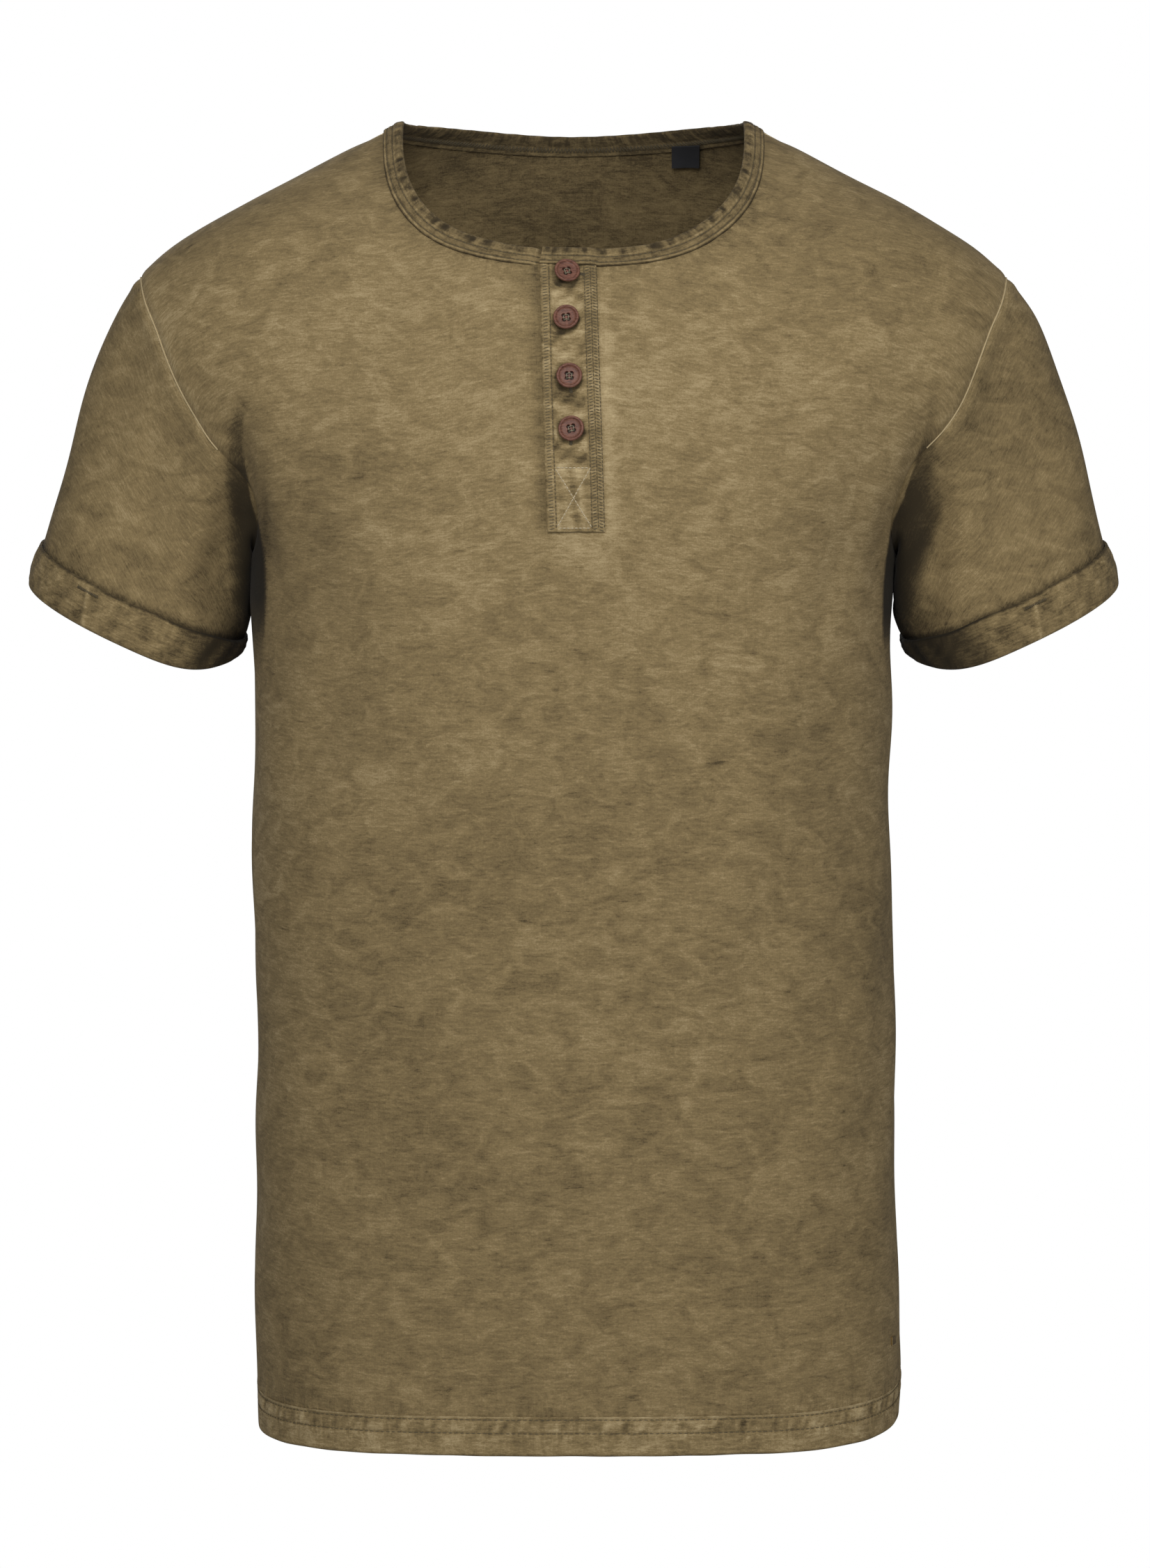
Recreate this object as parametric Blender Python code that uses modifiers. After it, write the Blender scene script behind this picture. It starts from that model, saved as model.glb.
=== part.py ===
"""A short-sleeved jersey top with a round neck, a four-button placket and turned-up cuffs.

It is filled out as if worn, with nobody in it: every piece is a thin wall of cloth, and the
neck, the hem and the cuffs are open.

Frame: metres, +Z up. The front faces -Y and the viewer's right is +X. The origin lies midway
between the two shoulder points beside the neck, where the wearer's shoulders carry the cloth.

The body is a stack of rounded sections. A place on it is a turn and a height: the turn is the
angle round the body, 0 at the middle of the front, a quarter turn at the +X side or on the
shoulder ridge, and half a turn at the middle of the back. Seams are curves in turn and height,
and each panel is a grid laid between its seams.
"""

import math

import bmesh
import bpy
import numpy as np
from mathutils import Euler, Matrix, Vector

QUARTER = math.pi / 2

# Cloth
CLOTH = 0.0015
SEAM_GAP = 0.0003
LAYER_GAP = 0.0006
HEM_DEPTH = 0.0205
HEM_CLOTH = 0.0027
HEM_STEP = 0.0006

# The body's sections, from the hem up to above the neck. The widths are those of the two
# sides from the middle, and the depths those of the front and the back from the side seams.
SECTION_COLUMNS = ("height", "left", "right", "front", "back", "squareness")
SECTIONS = (
    (-0.710, 0.1695, 0.1735, 0.1180, 0.1120, 2.68),
    (-0.670, 0.1708, 0.1748, 0.1180, 0.1115, 2.65),
    (-0.610, 0.1700, 0.1730, 0.1182, 0.1100, 2.60),
    (-0.520, 0.1700, 0.1712, 0.1190, 0.1075, 2.55),
    (-0.430, 0.1708, 0.1712, 0.1205, 0.1075, 2.52),
    (-0.340, 0.1716, 0.1702, 0.1240, 0.1115, 2.50),
    (-0.290, 0.1724, 0.1712, 0.1258, 0.1145, 2.45),
    (-0.262, 0.1730, 0.1722, 0.1264, 0.1155, 2.42),
    (-0.236, 0.1745, 0.1745, 0.1265, 0.1162, 2.40),
    (-0.214, 0.1875, 0.1875, 0.1255, 0.1163, 2.38),
    (-0.196, 0.2015, 0.2015, 0.1242, 0.1160, 2.36),
    (-0.172, 0.2205, 0.2205, 0.1212, 0.1142, 2.35),
    (-0.146, 0.2365, 0.2365, 0.1162, 0.1122, 2.32),
    (-0.120, 0.2440, 0.2440, 0.1095, 0.1085, 2.30),
    (-0.100, 0.2430, 0.2430, 0.1025, 0.1050, 2.28),
    (-0.084, 0.2335, 0.2335, 0.0955, 0.1012, 2.26),
    (-0.070, 0.2190, 0.2190, 0.0885, 0.0980, 2.24),
    (-0.0435, 0.1735, 0.1735, 0.0705, 0.0905, 2.20),
    (-0.0285, 0.1445, 0.1445, 0.0575, 0.0855, 2.20),
    (-0.0135, 0.1160, 0.1160, 0.0435, 0.0790, 2.20),
    (0.000, 0.0915, 0.0915, 0.0280, 0.0720, 2.20),
    (0.020, 0.0560, 0.0560, 0.0100, 0.0600, 2.20),
)

# Seams of the body
SHOULDER_TIP = -0.084
UNDERARM = -0.236
ARMHOLE_MIDDLE = (SHOULDER_TIP + UNDERARM) / 2
ARMHOLE_HALF_HEIGHT = (SHOULDER_TIP - UNDERARM) / 2
ARMHOLE_FRONT_TURN = math.radians(32)
ARMHOLE_BACK_TURN = math.radians(29)
ARMHOLE_SQUARENESS = 2.5
HEM_SIDE = -0.6925
HEM_RIGHT_RISE = 0.0035
HEM_FRONT_DROP = 0.0130
HEM_BACK_DROP = 0.0105
HEM_CURVE = 2.6

# The neck band. At row 0 is the opening's edge, and at row 1 the seam to the panels. The pairs
# hold a value at each of the two, and the profile's lines are a row and a distance out.
NECK_RIDGE = (0.0, -0.0055)
NECK_FRONT_DROP = (0.0770, 0.0810)
NECK_BACK_DROP = (0.0, 0.0043)
NECK_BACK_RISE = 0.0022
NECK_SQUARENESS = 2.75
BAND_GAP_ROWS = 0.015
BAND_LIFT = 0.0016
BAND_RAMP = 0.0060
BAND_END_SHARE = 0.8
BAND_PROFILE = (
    (1 - BAND_GAP_ROWS, 0.0003),
    (0.55, 0.0006),
    (0.08, 0.0002),
    (0.0, -0.0006),
    (0.08, -0.0015),
    (0.55, -0.0018),
    (1 - BAND_GAP_ROWS, -0.0018),
)

# The placket. Its middle line leans a little, so it has a place at the top and at the bottom.
PLACKET_TOP = NECK_RIDGE[1] - NECK_FRONT_DROP[1] - SEAM_GAP
PLACKET_BOTTOM = -0.2270
SLIT_BOTTOM = -0.2050
PLACKET_MIDDLE_TOP = -0.0030
PLACKET_MIDDLE_BOTTOM = 0.0014
PLACKET_HALF_WIDTH = 0.0148
UNDER_HALF_WIDTH = 0.0135
SLIT_HALF_WIDTH = 0.0112
PLACKET_CLOTH = 0.0013
FREE_EDGE_RISE = 0.0008
PLACKET_ROWS = 11
PLACKET_STEPS = 4

# Buttons: across, height and tilt in degrees. The profile's radii and heights above the
# button's back are turned about its axis, from the back to the face.
BUTTONS = (
    (-0.0037, -0.0918, 6),
    (-0.0037, -0.1165, -5),
    (-0.0019, -0.1468, 5),
    (-0.0008, -0.1745, -4),
)
BUTTON_PROFILE = (
    (0.0000, 0.0000),
    (0.0022, 0.0000),
    (0.0022, 0.0008),
    (0.0056, 0.0009),
    (0.0067, 0.0019),
    (0.0066, 0.0028),
    (0.0058, 0.0032),
    (0.0047, 0.0028),
    (0.0000, 0.0026),
)
BUTTON_SIDES = 18
BUTTON_HOLE_RADIUS = 0.00075
BUTTON_HOLE_FROM_AXIS = 0.0016
BUTTON_HOLE_DEPTH = 0.0012
BUTTON_HOLE_SIDES = 6

# Sleeves and cuffs. The cuff's rim is an oval about its own middle.
CUFF_TOP_MIDDLE = np.array((0.2321, 0.0032, -0.2520))
CUFF_OUTWARD = np.array((0.908, 0.0, 0.418))
CUFF_FORWARD = np.array((0.0, -0.975, -0.222))
CUFF_FALL = np.array((0.300, 0.120, -0.946))
CUFF_HALF_WIDTH = 0.0590
CUFF_HALF_DEPTH = 0.0490
CUFF_SQUARENESS = 2.25
CUFF_HEIGHT = 0.0230
CUFF_INNER_SHORTER = 0.62
CUFF_INNER_BACK = 0.012
CUFF_CLOTH = 0.0018
CUFF_LIP = 0.0018
CUFF_CROWN = 0.0006
SLEEVE_PULL = (0.85, 0.75)
SLEEVE_TURN_DOWN = 0.50
SLEEVE_TURN_DOWN_ANGLE = math.radians(100)
SLEEVE_ROWS = 8

# Grids. A quarter of a section's way round is about this share of its width and depth together.
GIRTH_SHARE = 0.87
ARMHOLE_STEPS = 17
NECK_STEPS = 8
SHOULDER_STEPS = 5
PANEL_COLUMNS = NECK_STEPS + SHOULDER_STEPS
SKIRT_ROWS = 8
CENTRE_BREAK = -0.300
SLIT_STEPS_BELOW = 7
NET_ROUNDS = 300

# Soft folds of the body: the face, the x and z of the top end and of the lower end, the width,
# the push outwards, and how far along the fold it is strongest.
FRONT, BACK = 1, -1
FOLDS = (
    (FRONT, -0.180, -0.138, -0.178, -0.245, 0.0110, -0.0110, 0.70),
    (FRONT, 0.192, -0.136, 0.179, -0.245, 0.0110, -0.0100, 0.70),
    (FRONT, -0.102, -0.254, -0.155, -0.390, 0.0150, -0.0035, 0.50),
    (FRONT, 0.122, -0.285, 0.158, -0.421, 0.0140, -0.0030, 0.45),
    (FRONT, -0.104, -0.470, -0.132, -0.535, 0.0160, -0.0020, 0.50),
    (BACK, -0.176, -0.140, -0.172, -0.245, 0.0100, -0.0100, 0.72),
    (BACK, 0.178, -0.142, 0.173, -0.245, 0.0100, -0.0110, 0.72),
    (BACK, 0.000, -0.200, 0.004, -0.620, 0.0450, -0.0060, 0.45),
    (BACK, -0.080, -0.300, -0.135, -0.480, 0.0160, -0.0030, 0.50),
    (BACK, 0.092, -0.320, 0.140, -0.470, 0.0150, -0.0030, 0.50),
)

# Soft folds of the sleeves: the side, the angles at the top and the lower end, counted round
# the armhole from the shoulder tip forwards, the two ends as shares of the way from the armhole
# to the cuff, the width as an angle, and the push outwards.
SLEEVE_FOLD_FADE = 1.2
SLEEVE_FOLDS = (
    (1, 1.75, 2.45, 0.02, 0.98, 0.20, -0.0050),
    (-1, 2.05, 2.35, 0.05, 0.98, 0.22, -0.0040),
    (1, 4.30, 3.90, 0.05, 0.95, 0.22, -0.0040),
    (-1, 4.15, 3.85, 0.05, 0.95, 0.24, -0.0045),
    (1, 3.14, 3.14, 0.35, 1.00, 0.42, 0.0055),
    (-1, 3.14, 3.14, 0.35, 1.00, 0.42, 0.0048),
)

# The size label inside the back of the neck, and the little metal plate near the hem
LABEL_ACROSS = (0.0553, 0.0706)
LABEL_TOP = -0.0058
LABEL_BOTTOM = -0.0151
LABEL_CLOTH = 0.0010
LABEL_STAND_OFF = 0.0016
LABEL_STEPS = 2
PLATE_TURN = math.radians(68)
PLATE_HEIGHT = -0.6525
PLATE_SIZE = (0.0105, 0.0011, 0.0046)
PLATE_EDGE = 0.0003
PLATE_STEPS = 2

COLOURS = {
    "cloth": ((0.185, 0.135, 0.068), 0.92, 0.0),
    "placket": ((0.205, 0.150, 0.078), 0.92, 0.0),
    "band": ((0.165, 0.120, 0.060), 0.92, 0.0),
    "button": ((0.165, 0.070, 0.048), 0.45, 0.0),
    "label": ((0.012, 0.012, 0.014), 0.80, 0.0),
    "brass": ((0.420, 0.300, 0.120), 0.40, 1.0),
}


def unit(v):
    return v / np.linalg.norm(v, axis=-1, keepdims=True)


def smooth_step(low, high, x):
    t = np.clip((x - low) / (high - low), 0, 1)
    return t * t * (3 - 2 * t)


def through(places, values, at):
    """The smooth curve through the values at rising places: a cubic between each two of them."""
    slopes = np.gradient(values, places)
    i = np.clip(np.searchsorted(places, at) - 1, 0, len(places) - 2)
    step = places[i + 1] - places[i]
    t = np.clip((at - places[i]) / step, 0, 1)
    back, ahead = (1 - t) ** 2, t**2
    return (
        values[i] * back * (1 + 2 * t)
        + values[i + 1] * ahead * (3 - 2 * t)
        + step * (slopes[i] * back * t - slopes[i + 1] * ahead * (1 - t))
    )


def section(column, height):
    """One column of the body's sections, at any height."""
    table = np.array(SECTIONS)
    return through(table[:, 0], table[:, SECTION_COLUMNS.index(column)], height)


def rounded(angle, squareness):
    """The sine and cosine of an angle, pushed out onto a rounded square."""
    s, c = np.sin(angle), np.cos(angle)
    reach = (np.abs(s) ** squareness + np.abs(c) ** squareness) ** (-1 / squareness)
    return s * reach, c * reach


def angle_at(sine, squareness):
    """The angle whose pushed-out sine this is, between a quarter turn back and ahead."""
    sine = np.clip(sine, -1, 1)
    return np.arctan2(sine, (1 - np.abs(sine) ** squareness) ** (1 / squareness))


def side_width(x, height):
    return np.where(np.asarray(x) < 0, section("left", height), section("right", height))


def turn_at(x, height):
    """The turn at which the front of the body has this x, at a height."""
    return angle_at(x / side_width(x, height), section("squareness", height))


def bare_body(turn, height):
    """A point of the body's outer face before its folds."""
    turn, height = np.broadcast_arrays(turn, height)
    s, c = rounded(turn, section("squareness", height))
    depth = np.where(c > 0, section("front", height), section("back", height))
    return np.stack([side_width(s, height) * s, -depth * c, height], axis=-1)


def outward(surface, u, v, step=1e-4):
    """The unit normal of a surface of two parameters, from small steps each way."""
    u, v = np.broadcast_arrays(u, v)
    along_u = surface(u + step, v) - surface(u - step, v)
    along_v = surface(u, v + step) - surface(u, v - step)
    return unit(np.cross(along_u, along_v))


def along_fold(x, z, top, low, width, peak):
    """How strongly a fold from top to low acts at a place: 1 on its line where it is deepest."""
    line = np.subtract(low, top)
    length = np.hypot(*line)
    share = ((x - top[0]) * line[0] + (z - top[1]) * line[1]) / length**2
    away = ((x - top[0]) * line[1] - (z - top[1]) * line[0]) / length
    ends = smooth_step(0, peak, share) * (1 - smooth_step(peak, 1, share))
    return ends * np.exp(-((away / width) ** 2))


def body(turn, height):
    """A point of the body's outer face, with its folds. They fade out at the side seams."""
    turn, height = np.broadcast_arrays(turn, height)
    place = bare_body(turn, height)
    push = np.zeros(turn.shape)
    for face, top_x, top_z, low_x, low_z, width, depth, peak in FOLDS:
        on_face = smooth_step(0.0, 0.25, face * np.cos(turn))
        fold = along_fold(place[..., 0], height, (top_x, top_z), (low_x, low_z), width, peak)
        push = push + depth * on_face * fold
    return place + push[..., None] * outward(bare_body, turn, height)


def off_body(turn, height, out):
    """A point moved out from the body's outer face, or in where out is below 0."""
    turn, height, out = np.broadcast_arrays(turn, height, out)
    return body(turn, height) + out[..., None] * outward(body, turn, height)


def hem(turn):
    """The hem's height: lowest at the middle of the front and back, and higher at one side."""
    c = np.cos(turn)
    drop = np.where(c > 0, HEM_FRONT_DROP, HEM_BACK_DROP)
    rise = HEM_RIGHT_RISE * smooth_step(0.6, 1.0, np.sin(turn))
    return HEM_SIDE + rise - drop * (1 - (1 - np.abs(c)) ** HEM_CURVE)


def neck(angle, row):
    """The neck at a row of its band, as a turn and a height. The angle starts at the front."""
    angle, row = np.broadcast_arrays(np.asarray(angle, float), row)
    s, c = rounded(angle, NECK_SQUARENESS)
    ridge, front_drop, back_drop = (
        values[0] + (values[1] - values[0]) * row
        for values in (NECK_RIDGE, NECK_FRONT_DROP, NECK_BACK_DROP)
    )
    rise = NECK_BACK_RISE * np.sin(2 * angle) ** 2
    height = ridge - np.where(c > 0, front_drop * c, -back_drop * c - rise)
    front_turn = turn_at(side_width(s, ridge) * s, height)
    return np.where(c > 0, front_turn, angle), height


def armhole(angle, side):
    """The armhole seam as a turn and a height. The angle starts at the shoulder tip, forwards."""
    s, c = rounded(angle, ARMHOLE_SQUARENESS)
    swing = np.where(s > 0, ARMHOLE_FRONT_TURN, ARMHOLE_BACK_TURN)
    return side * (QUARTER - swing * s), ARMHOLE_MIDDLE + ARMHOLE_HALF_HEIGHT * c


def placket_middle(height):
    share = np.clip((height - PLACKET_TOP) / (PLACKET_BOTTOM - PLACKET_TOP), 0, 1)
    return PLACKET_MIDDLE_TOP + (PLACKET_MIDDLE_BOTTOM - PLACKET_MIDDLE_TOP) * share


def cuff_line(angle, down, side):
    """A point of the sleeve's outer face under the cuff, so far down from the cuff's top.

    Towards the body the ring lies further back, and the cuff is lower.
    """
    angle, down = np.broadcast_arrays(angle, down)
    s, c = rounded(angle, CUFF_SQUARENESS)
    inner = np.clip(-c, 0, 1) ** 4
    point = (
        CUFF_TOP_MIDDLE
        + CUFF_HALF_WIDTH * c[..., None] * CUFF_OUTWARD
        + CUFF_HALF_DEPTH * s[..., None] * CUFF_FORWARD
        + (down * (1 - CUFF_INNER_SHORTER * inner))[..., None] * CUFF_FALL
    )
    point[..., 1] += CUFF_INNER_BACK * inner
    return point * (side, 1, 1)


def sleeve_seam(angle, side):
    """The armhole seam: its points, the way on along the body's face, and the normal there.

    The sleeve leaves it along the body's face at the shoulder, and turned down towards the
    cuff lower round. The normal is halfway between those of the body and of the sleeve.
    """
    point = body(*armhole(angle, side))
    normal = outward(body, *armhole(angle, side))
    step = 1e-3
    along = unit(body(*armhole(angle + step, side)) - body(*armhole(angle - step, side)))
    onward = side * np.cross(normal, along)
    from_tip = np.minimum(angle % (2 * math.pi), 2 * math.pi - angle % (2 * math.pi))
    lean = (SLEEVE_TURN_DOWN * smooth_step(0, SLEEVE_TURN_DOWN_ANGLE, from_tip))[..., None]
    away = unit((1 - lean) * onward + lean * unit(cuff_line(angle, 0.0, side) - point))
    shared = unit(normal + side * unit(np.cross(along, away)))
    return point, onward, away, shared


def bare_sleeve(angle, share, side):
    """The sleeve's outer face before its folds. Share 0 is the armhole and 1 the cuff's top.

    Each line down the sleeve is a cubic that starts along the seam's way out and comes
    straight into the cuff.
    """
    angle, share = np.broadcast_arrays(angle, share)
    t = share[..., None]
    start, _, away, _ = sleeve_seam(angle, side)
    end = cuff_line(angle, 0.0, side)
    reach = np.linalg.norm(end - start, axis=-1, keepdims=True)
    leave = SLEEVE_PULL[0] * reach * away
    arrive = SLEEVE_PULL[1] * reach * CUFF_FALL * (side, 1, 1)
    return (
        start * (1 - t) ** 2 * (1 + 2 * t)
        + leave * (1 - t) ** 2 * t
        + end * t**2 * (3 - 2 * t)
        - arrive * t**2 * (1 - t)
    )


def sleeve(angle, share, side):
    """The sleeve's outer face, with its folds."""
    angle, share = np.broadcast_arrays(angle, share)
    push = np.zeros(angle.shape)
    for fold_side, top_turn, low_turn, top, low, width, depth in SLEEVE_FOLDS:
        if fold_side == side:
            along = np.clip((share - top) / (low - top), 0, 1)
            line = top_turn + (low_turn - top_turn) * along
            strength = np.sin(math.pi * along) ** SLEEVE_FOLD_FADE
            push = push + depth * strength * np.exp(-(((angle - line) / width) ** 2))
    normal = side * outward(lambda u, v: bare_sleeve(u, v, side), angle, share, 1e-3)
    return bare_sleeve(angle, share, side) + push[..., None] * normal


def collection(name):
    made = bpy.data.collections.new(name)
    bpy.context.scene.collection.children.link(made)
    return made


def material(name, finish):
    colour, roughness, metallic = COLOURS[finish]
    made = bpy.data.materials.new(name)
    made.use_nodes = True
    shader = made.node_tree.nodes["Principled BSDF"]
    shader.inputs["Base Color"].default_value = (*colour, 1)
    shader.inputs["Roughness"].default_value = roughness
    shader.inputs["Metallic"].default_value = metallic
    return made


def new_object(name, mesh, finish):
    """An object of the garment with a plain material of its own."""
    mesh.shade_smooth()
    mesh.set_sharp_from_angle(angle=math.radians(40))
    mesh.materials.append(material(name, finish))
    obj = bpy.data.objects.new(name, mesh)
    bpy.data.collections["henley"].objects.link(obj)
    return obj


def closed_body(name, points, faces, finish):
    """A closed body from its points and its faces."""
    bm = bmesh.new()
    verts = [bm.verts.new(p) for p in points]
    for face in faces:
        bm.faces.new([verts[i] for i in face])
    bmesh.ops.recalc_face_normals(bm, faces=bm.faces)
    mesh = bpy.data.meshes.new(name)
    bm.to_mesh(mesh)
    bm.free()
    return new_object(name, mesh, finish)


def wall(name, outer, inner, finish, is_cloth=None, is_tube=False):
    """A wall between two grids of points, closed at its edges.

    is_cloth says which cells of the grid are there, and a tube's last column meets its first.
    """
    rows, columns = outer.shape[:2]
    index = np.arange(rows * columns).reshape(rows, columns)
    if is_tube:
        index = np.concatenate([index, index[:, :1]], axis=1)
    if is_cloth is None:
        is_cloth = np.ones((rows - 1, index.shape[1] - 1), bool)
    faces, rims = [], set()
    for i, j in np.argwhere(is_cloth):
        corners = (index[i, j], index[i, j + 1], index[i + 1, j + 1], index[i + 1, j])
        cell = [int(k) for k in corners]
        faces.append(cell)
        faces.append([k + rows * columns for k in reversed(cell)])
        for a, b in zip(cell, cell[1:] + cell[:1]):
            if (b, a) in rims:
                rims.remove((b, a))
            else:
                rims.add((a, b))
    for a, b in sorted(rims):
        faces.append([b, a, a + rows * columns, b + rows * columns])
    points = np.concatenate([outer.reshape(-1, 3), inner.reshape(-1, 3)])
    used = sorted({k for face in faces for k in face})
    renumber = {k: n for n, k in enumerate(used)}
    faces = [[renumber[k] for k in face] for face in faces]
    return closed_body(name, points[used], faces, finish)


def ring(name, sections, finish, is_loop):
    """A body through a row of like sections, either a loop or capped at both ends."""
    count, size = sections.shape[:2]
    here = np.arange(size)
    there = (here + 1) % size
    faces = []
    for i in range(count if is_loop else count - 1):
        a, b = i * size, (i + 1) % count * size
        faces += np.stack([here + a, there + a, there + b, here + b], axis=1).tolist()
    if not is_loop:
        faces.append(here[::-1].tolist())
        faces.append((here + (count - 1) * size).tolist())
    return closed_body(name, sections.reshape(-1, 3), faces, finish)


def face_depth(face, height):
    return section("front" if face == FRONT else "back", height)


def girth(height, face):
    """About a quarter of the way round the body. It scales turns to lengths of cloth."""
    return GIRTH_SHARE * (section("right", height) + face_depth(face, height))


def seam_turn(height, face):
    """The turn of a panel's edge at the side seam or shoulder ridge, half a gap back from it."""
    return QUARTER - SEAM_GAP / 2 / face_depth(face, height)


def flat(turn, height, face):
    """Turns and heights as lengths of cloth, in which a panel's grid is laid out."""
    turn, height = np.broadcast_arrays(turn, height)
    return np.stack([turn / QUARTER * girth(height, face), height], axis=-1)


def net(bottom, top, left, right):
    """A grid between four edges that share their corners, evened out like a stretched net.

    It starts as a Coons patch, and then each inner place moves to the mean of its neighbours.
    """
    s = np.linspace(0, 1, len(bottom))[None, :, None]
    t = np.linspace(0, 1, len(left))[:, None, None]
    across = (1 - s) * left[:, None] + s * right[:, None]
    upward = (1 - t) * bottom[None] + t * top[None]
    low_corners = (1 - s) * bottom[0] + s * bottom[-1]
    high_corners = (1 - s) * top[0] + s * top[-1]
    grid = across + upward - (1 - t) * low_corners - t * high_corners
    for _ in range(NET_ROUNDS):
        beside = grid[1:-1, :-2] + grid[1:-1, 2:]
        grid[1:-1, 1:-1] = (beside + grid[:-2, 1:-1] + grid[2:, 1:-1]) / 4
    return grid


def middle_edge(face, side, top_height):
    """A half panel's inner edge, upwards: beside the slit in front, at the middle behind."""
    if face == BACK:
        height = np.linspace(CENTRE_BREAK, top_height, ARMHOLE_STEPS + 1)
        return np.zeros(height.shape), height
    below = np.linspace(CENTRE_BREAK, SLIT_BOTTOM, SLIT_STEPS_BELOW + 1)
    beside = np.linspace(SLIT_BOTTOM, top_height, ARMHOLE_STEPS - SLIT_STEPS_BELOW + 1)[1:]
    height = np.concatenate([below, beside])
    return beside_slit(height, side), height


def beside_slit(height, side):
    """The turn of the front's column beside the slit, counted outwards from the middle."""
    return side * turn_at(placket_middle(height) + side * SLIT_HALF_WIDTH, height)


def top_edge(face, side):
    """A half panel's top, outwards: the neck seam and then the shoulder seam."""
    first = 0.0
    if face == FRONT:
        slit_edge = side * PLACKET_MIDDLE_TOP + SLIT_HALF_WIDTH
        first = angle_at(slit_edge / section("right", NECK_RIDGE[1]), NECK_SQUARENESS)
    angle = np.linspace(first, QUARTER, NECK_STEPS + 1)
    turn, height = neck(angle if face == FRONT else math.pi - angle, 1 + BAND_GAP_ROWS)
    turn = turn if face == FRONT else math.pi - turn
    turn[-1] = seam_turn(height[-1], face)
    ridge = np.linspace(height[-1], SHOULDER_TIP, SHOULDER_STEPS + 1)[1:]
    return np.concatenate([turn, seam_turn(ridge, face)]), np.concatenate([height, ridge])


def half_panel(face, side):
    """Turns and heights of half a panel, from the hem up and from its middle out to its edge.

    The back's turns are counted from the middle of the back.
    """
    top_turn, top_height = top_edge(face, side)
    left_turn, left_height = middle_edge(face, side, top_height[0])
    top_turn[0] = left_turn[-1]
    arm_turn, arm_height = armhole(np.linspace(math.pi, 0, ARMHOLE_STEPS + 1) * face, 1)
    arm_turn = arm_turn if face == FRONT else math.pi - arm_turn
    arm_turn[[0, -1]] = seam_turn(arm_height[[0, -1]], face)
    left, right = flat(left_turn, left_height, face), flat(arm_turn, arm_height, face)
    top = flat(top_turn, top_height, face)
    bottom = left[0] + (right[0] - left[0]) * np.linspace(0, 1, PANEL_COLUMNS + 1)[:, None]
    upper = net(bottom, top, left, right)
    height = upper[..., 1]
    turn = QUARTER * upper[..., 0] / girth(height, face)

    low = hem(turn[0] if face == FRONT else math.pi - turn[0])
    rows = [low, low + HEM_DEPTH - HEM_STEP, low + HEM_DEPTH + HEM_STEP]
    for share in np.arange(1, SKIRT_ROWS) / SKIRT_ROWS:
        rows.append(low + HEM_DEPTH + (height[0] - low - HEM_DEPTH) * share)
    skirt_height = np.array(rows)
    inner_turn = np.zeros(len(rows))
    if face == FRONT:
        inner_turn = beside_slit(skirt_height[:, 0], side)
    outer_turn = seam_turn(skirt_height[:, -1], face)
    share = (turn[0] - turn[0, 0]) / (turn[0, -1] - turn[0, 0])
    skirt_turn = inner_turn[:, None] + (outer_turn - inner_turn)[:, None] * share
    return np.concatenate([skirt_turn, turn]), np.concatenate([skirt_height, height])


def panel(name, face):
    """The front or the back: both halves side by side, with thicker cloth along the hem."""
    left_turn, left_height = half_panel(face, -1)
    right_turn, right_height = half_panel(face, 1)
    skip = 0 if face == FRONT else 1
    turn = np.concatenate([-left_turn[:, ::-1], right_turn[:, skip:]], axis=1)
    height = np.concatenate([left_height[:, ::-1], right_height[:, skip:]], axis=1)
    is_cloth = np.ones((len(turn) - 1, turn.shape[1] - 1), bool)
    if face == FRONT:
        is_cloth[SKIRT_ROWS + 2 + SLIT_STEPS_BELOW :, PANEL_COLUMNS] = False
    else:
        turn = math.pi - turn[:, ::-1]
        height = height[:, ::-1]
    outer = body(turn, height)
    normal = outward(body, turn, height)
    upper = slice(-ARMHOLE_STEPS - 1, None)
    angle = np.linspace(math.pi, 0, ARMHOLE_STEPS + 1) * face
    for column, side in ((0, -face), (-1, face)):
        point, onward, _, shared = sleeve_seam(angle, side)
        edge = point - SEAM_GAP / 2 * onward
        edge[[0, -1], 1] = outer[upper, column][[0, -1], 1]
        outer[upper, column] = edge
        normal[upper, column] = shared
    thickness = np.where(height < hem(turn) + HEM_DEPTH, HEM_CLOTH, CLOTH)
    wall(name, outer, outer - thickness[..., None] * normal, "cloth", is_cloth)


def cuff_normal(angle, down, side):
    return side * outward(lambda u, v: cuff_line(u, v, side), angle, down)


def sleeve_body(name, side):
    """A sleeve: a tube from the armhole down into its cuff."""
    angle = np.linspace(0, 2 * math.pi, 2 * ARMHOLE_STEPS + 1)[:-1]
    share = np.linspace(0, 1, SLEEVE_ROWS + 1)[:, None]
    outer = sleeve(angle, share, side)
    normal = side * outward(lambda u, v: sleeve(u, v, side), angle, share, 1e-3)
    _, onward, _, shared = sleeve_seam(angle, side)
    outer[0] += SEAM_GAP / 2 * onward
    normal[0] = shared
    normal[-1] = cuff_normal(angle, 0.0, side)
    down = CUFF_HEIGHT - CUFF_LIP - SEAM_GAP
    outer = np.concatenate([outer, cuff_line(angle, down, side)[None]])
    normal = np.concatenate([normal, cuff_normal(angle, down, side)[None]])
    wall(name, outer, outer - CLOTH * normal, "cloth", is_tube=True)


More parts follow.
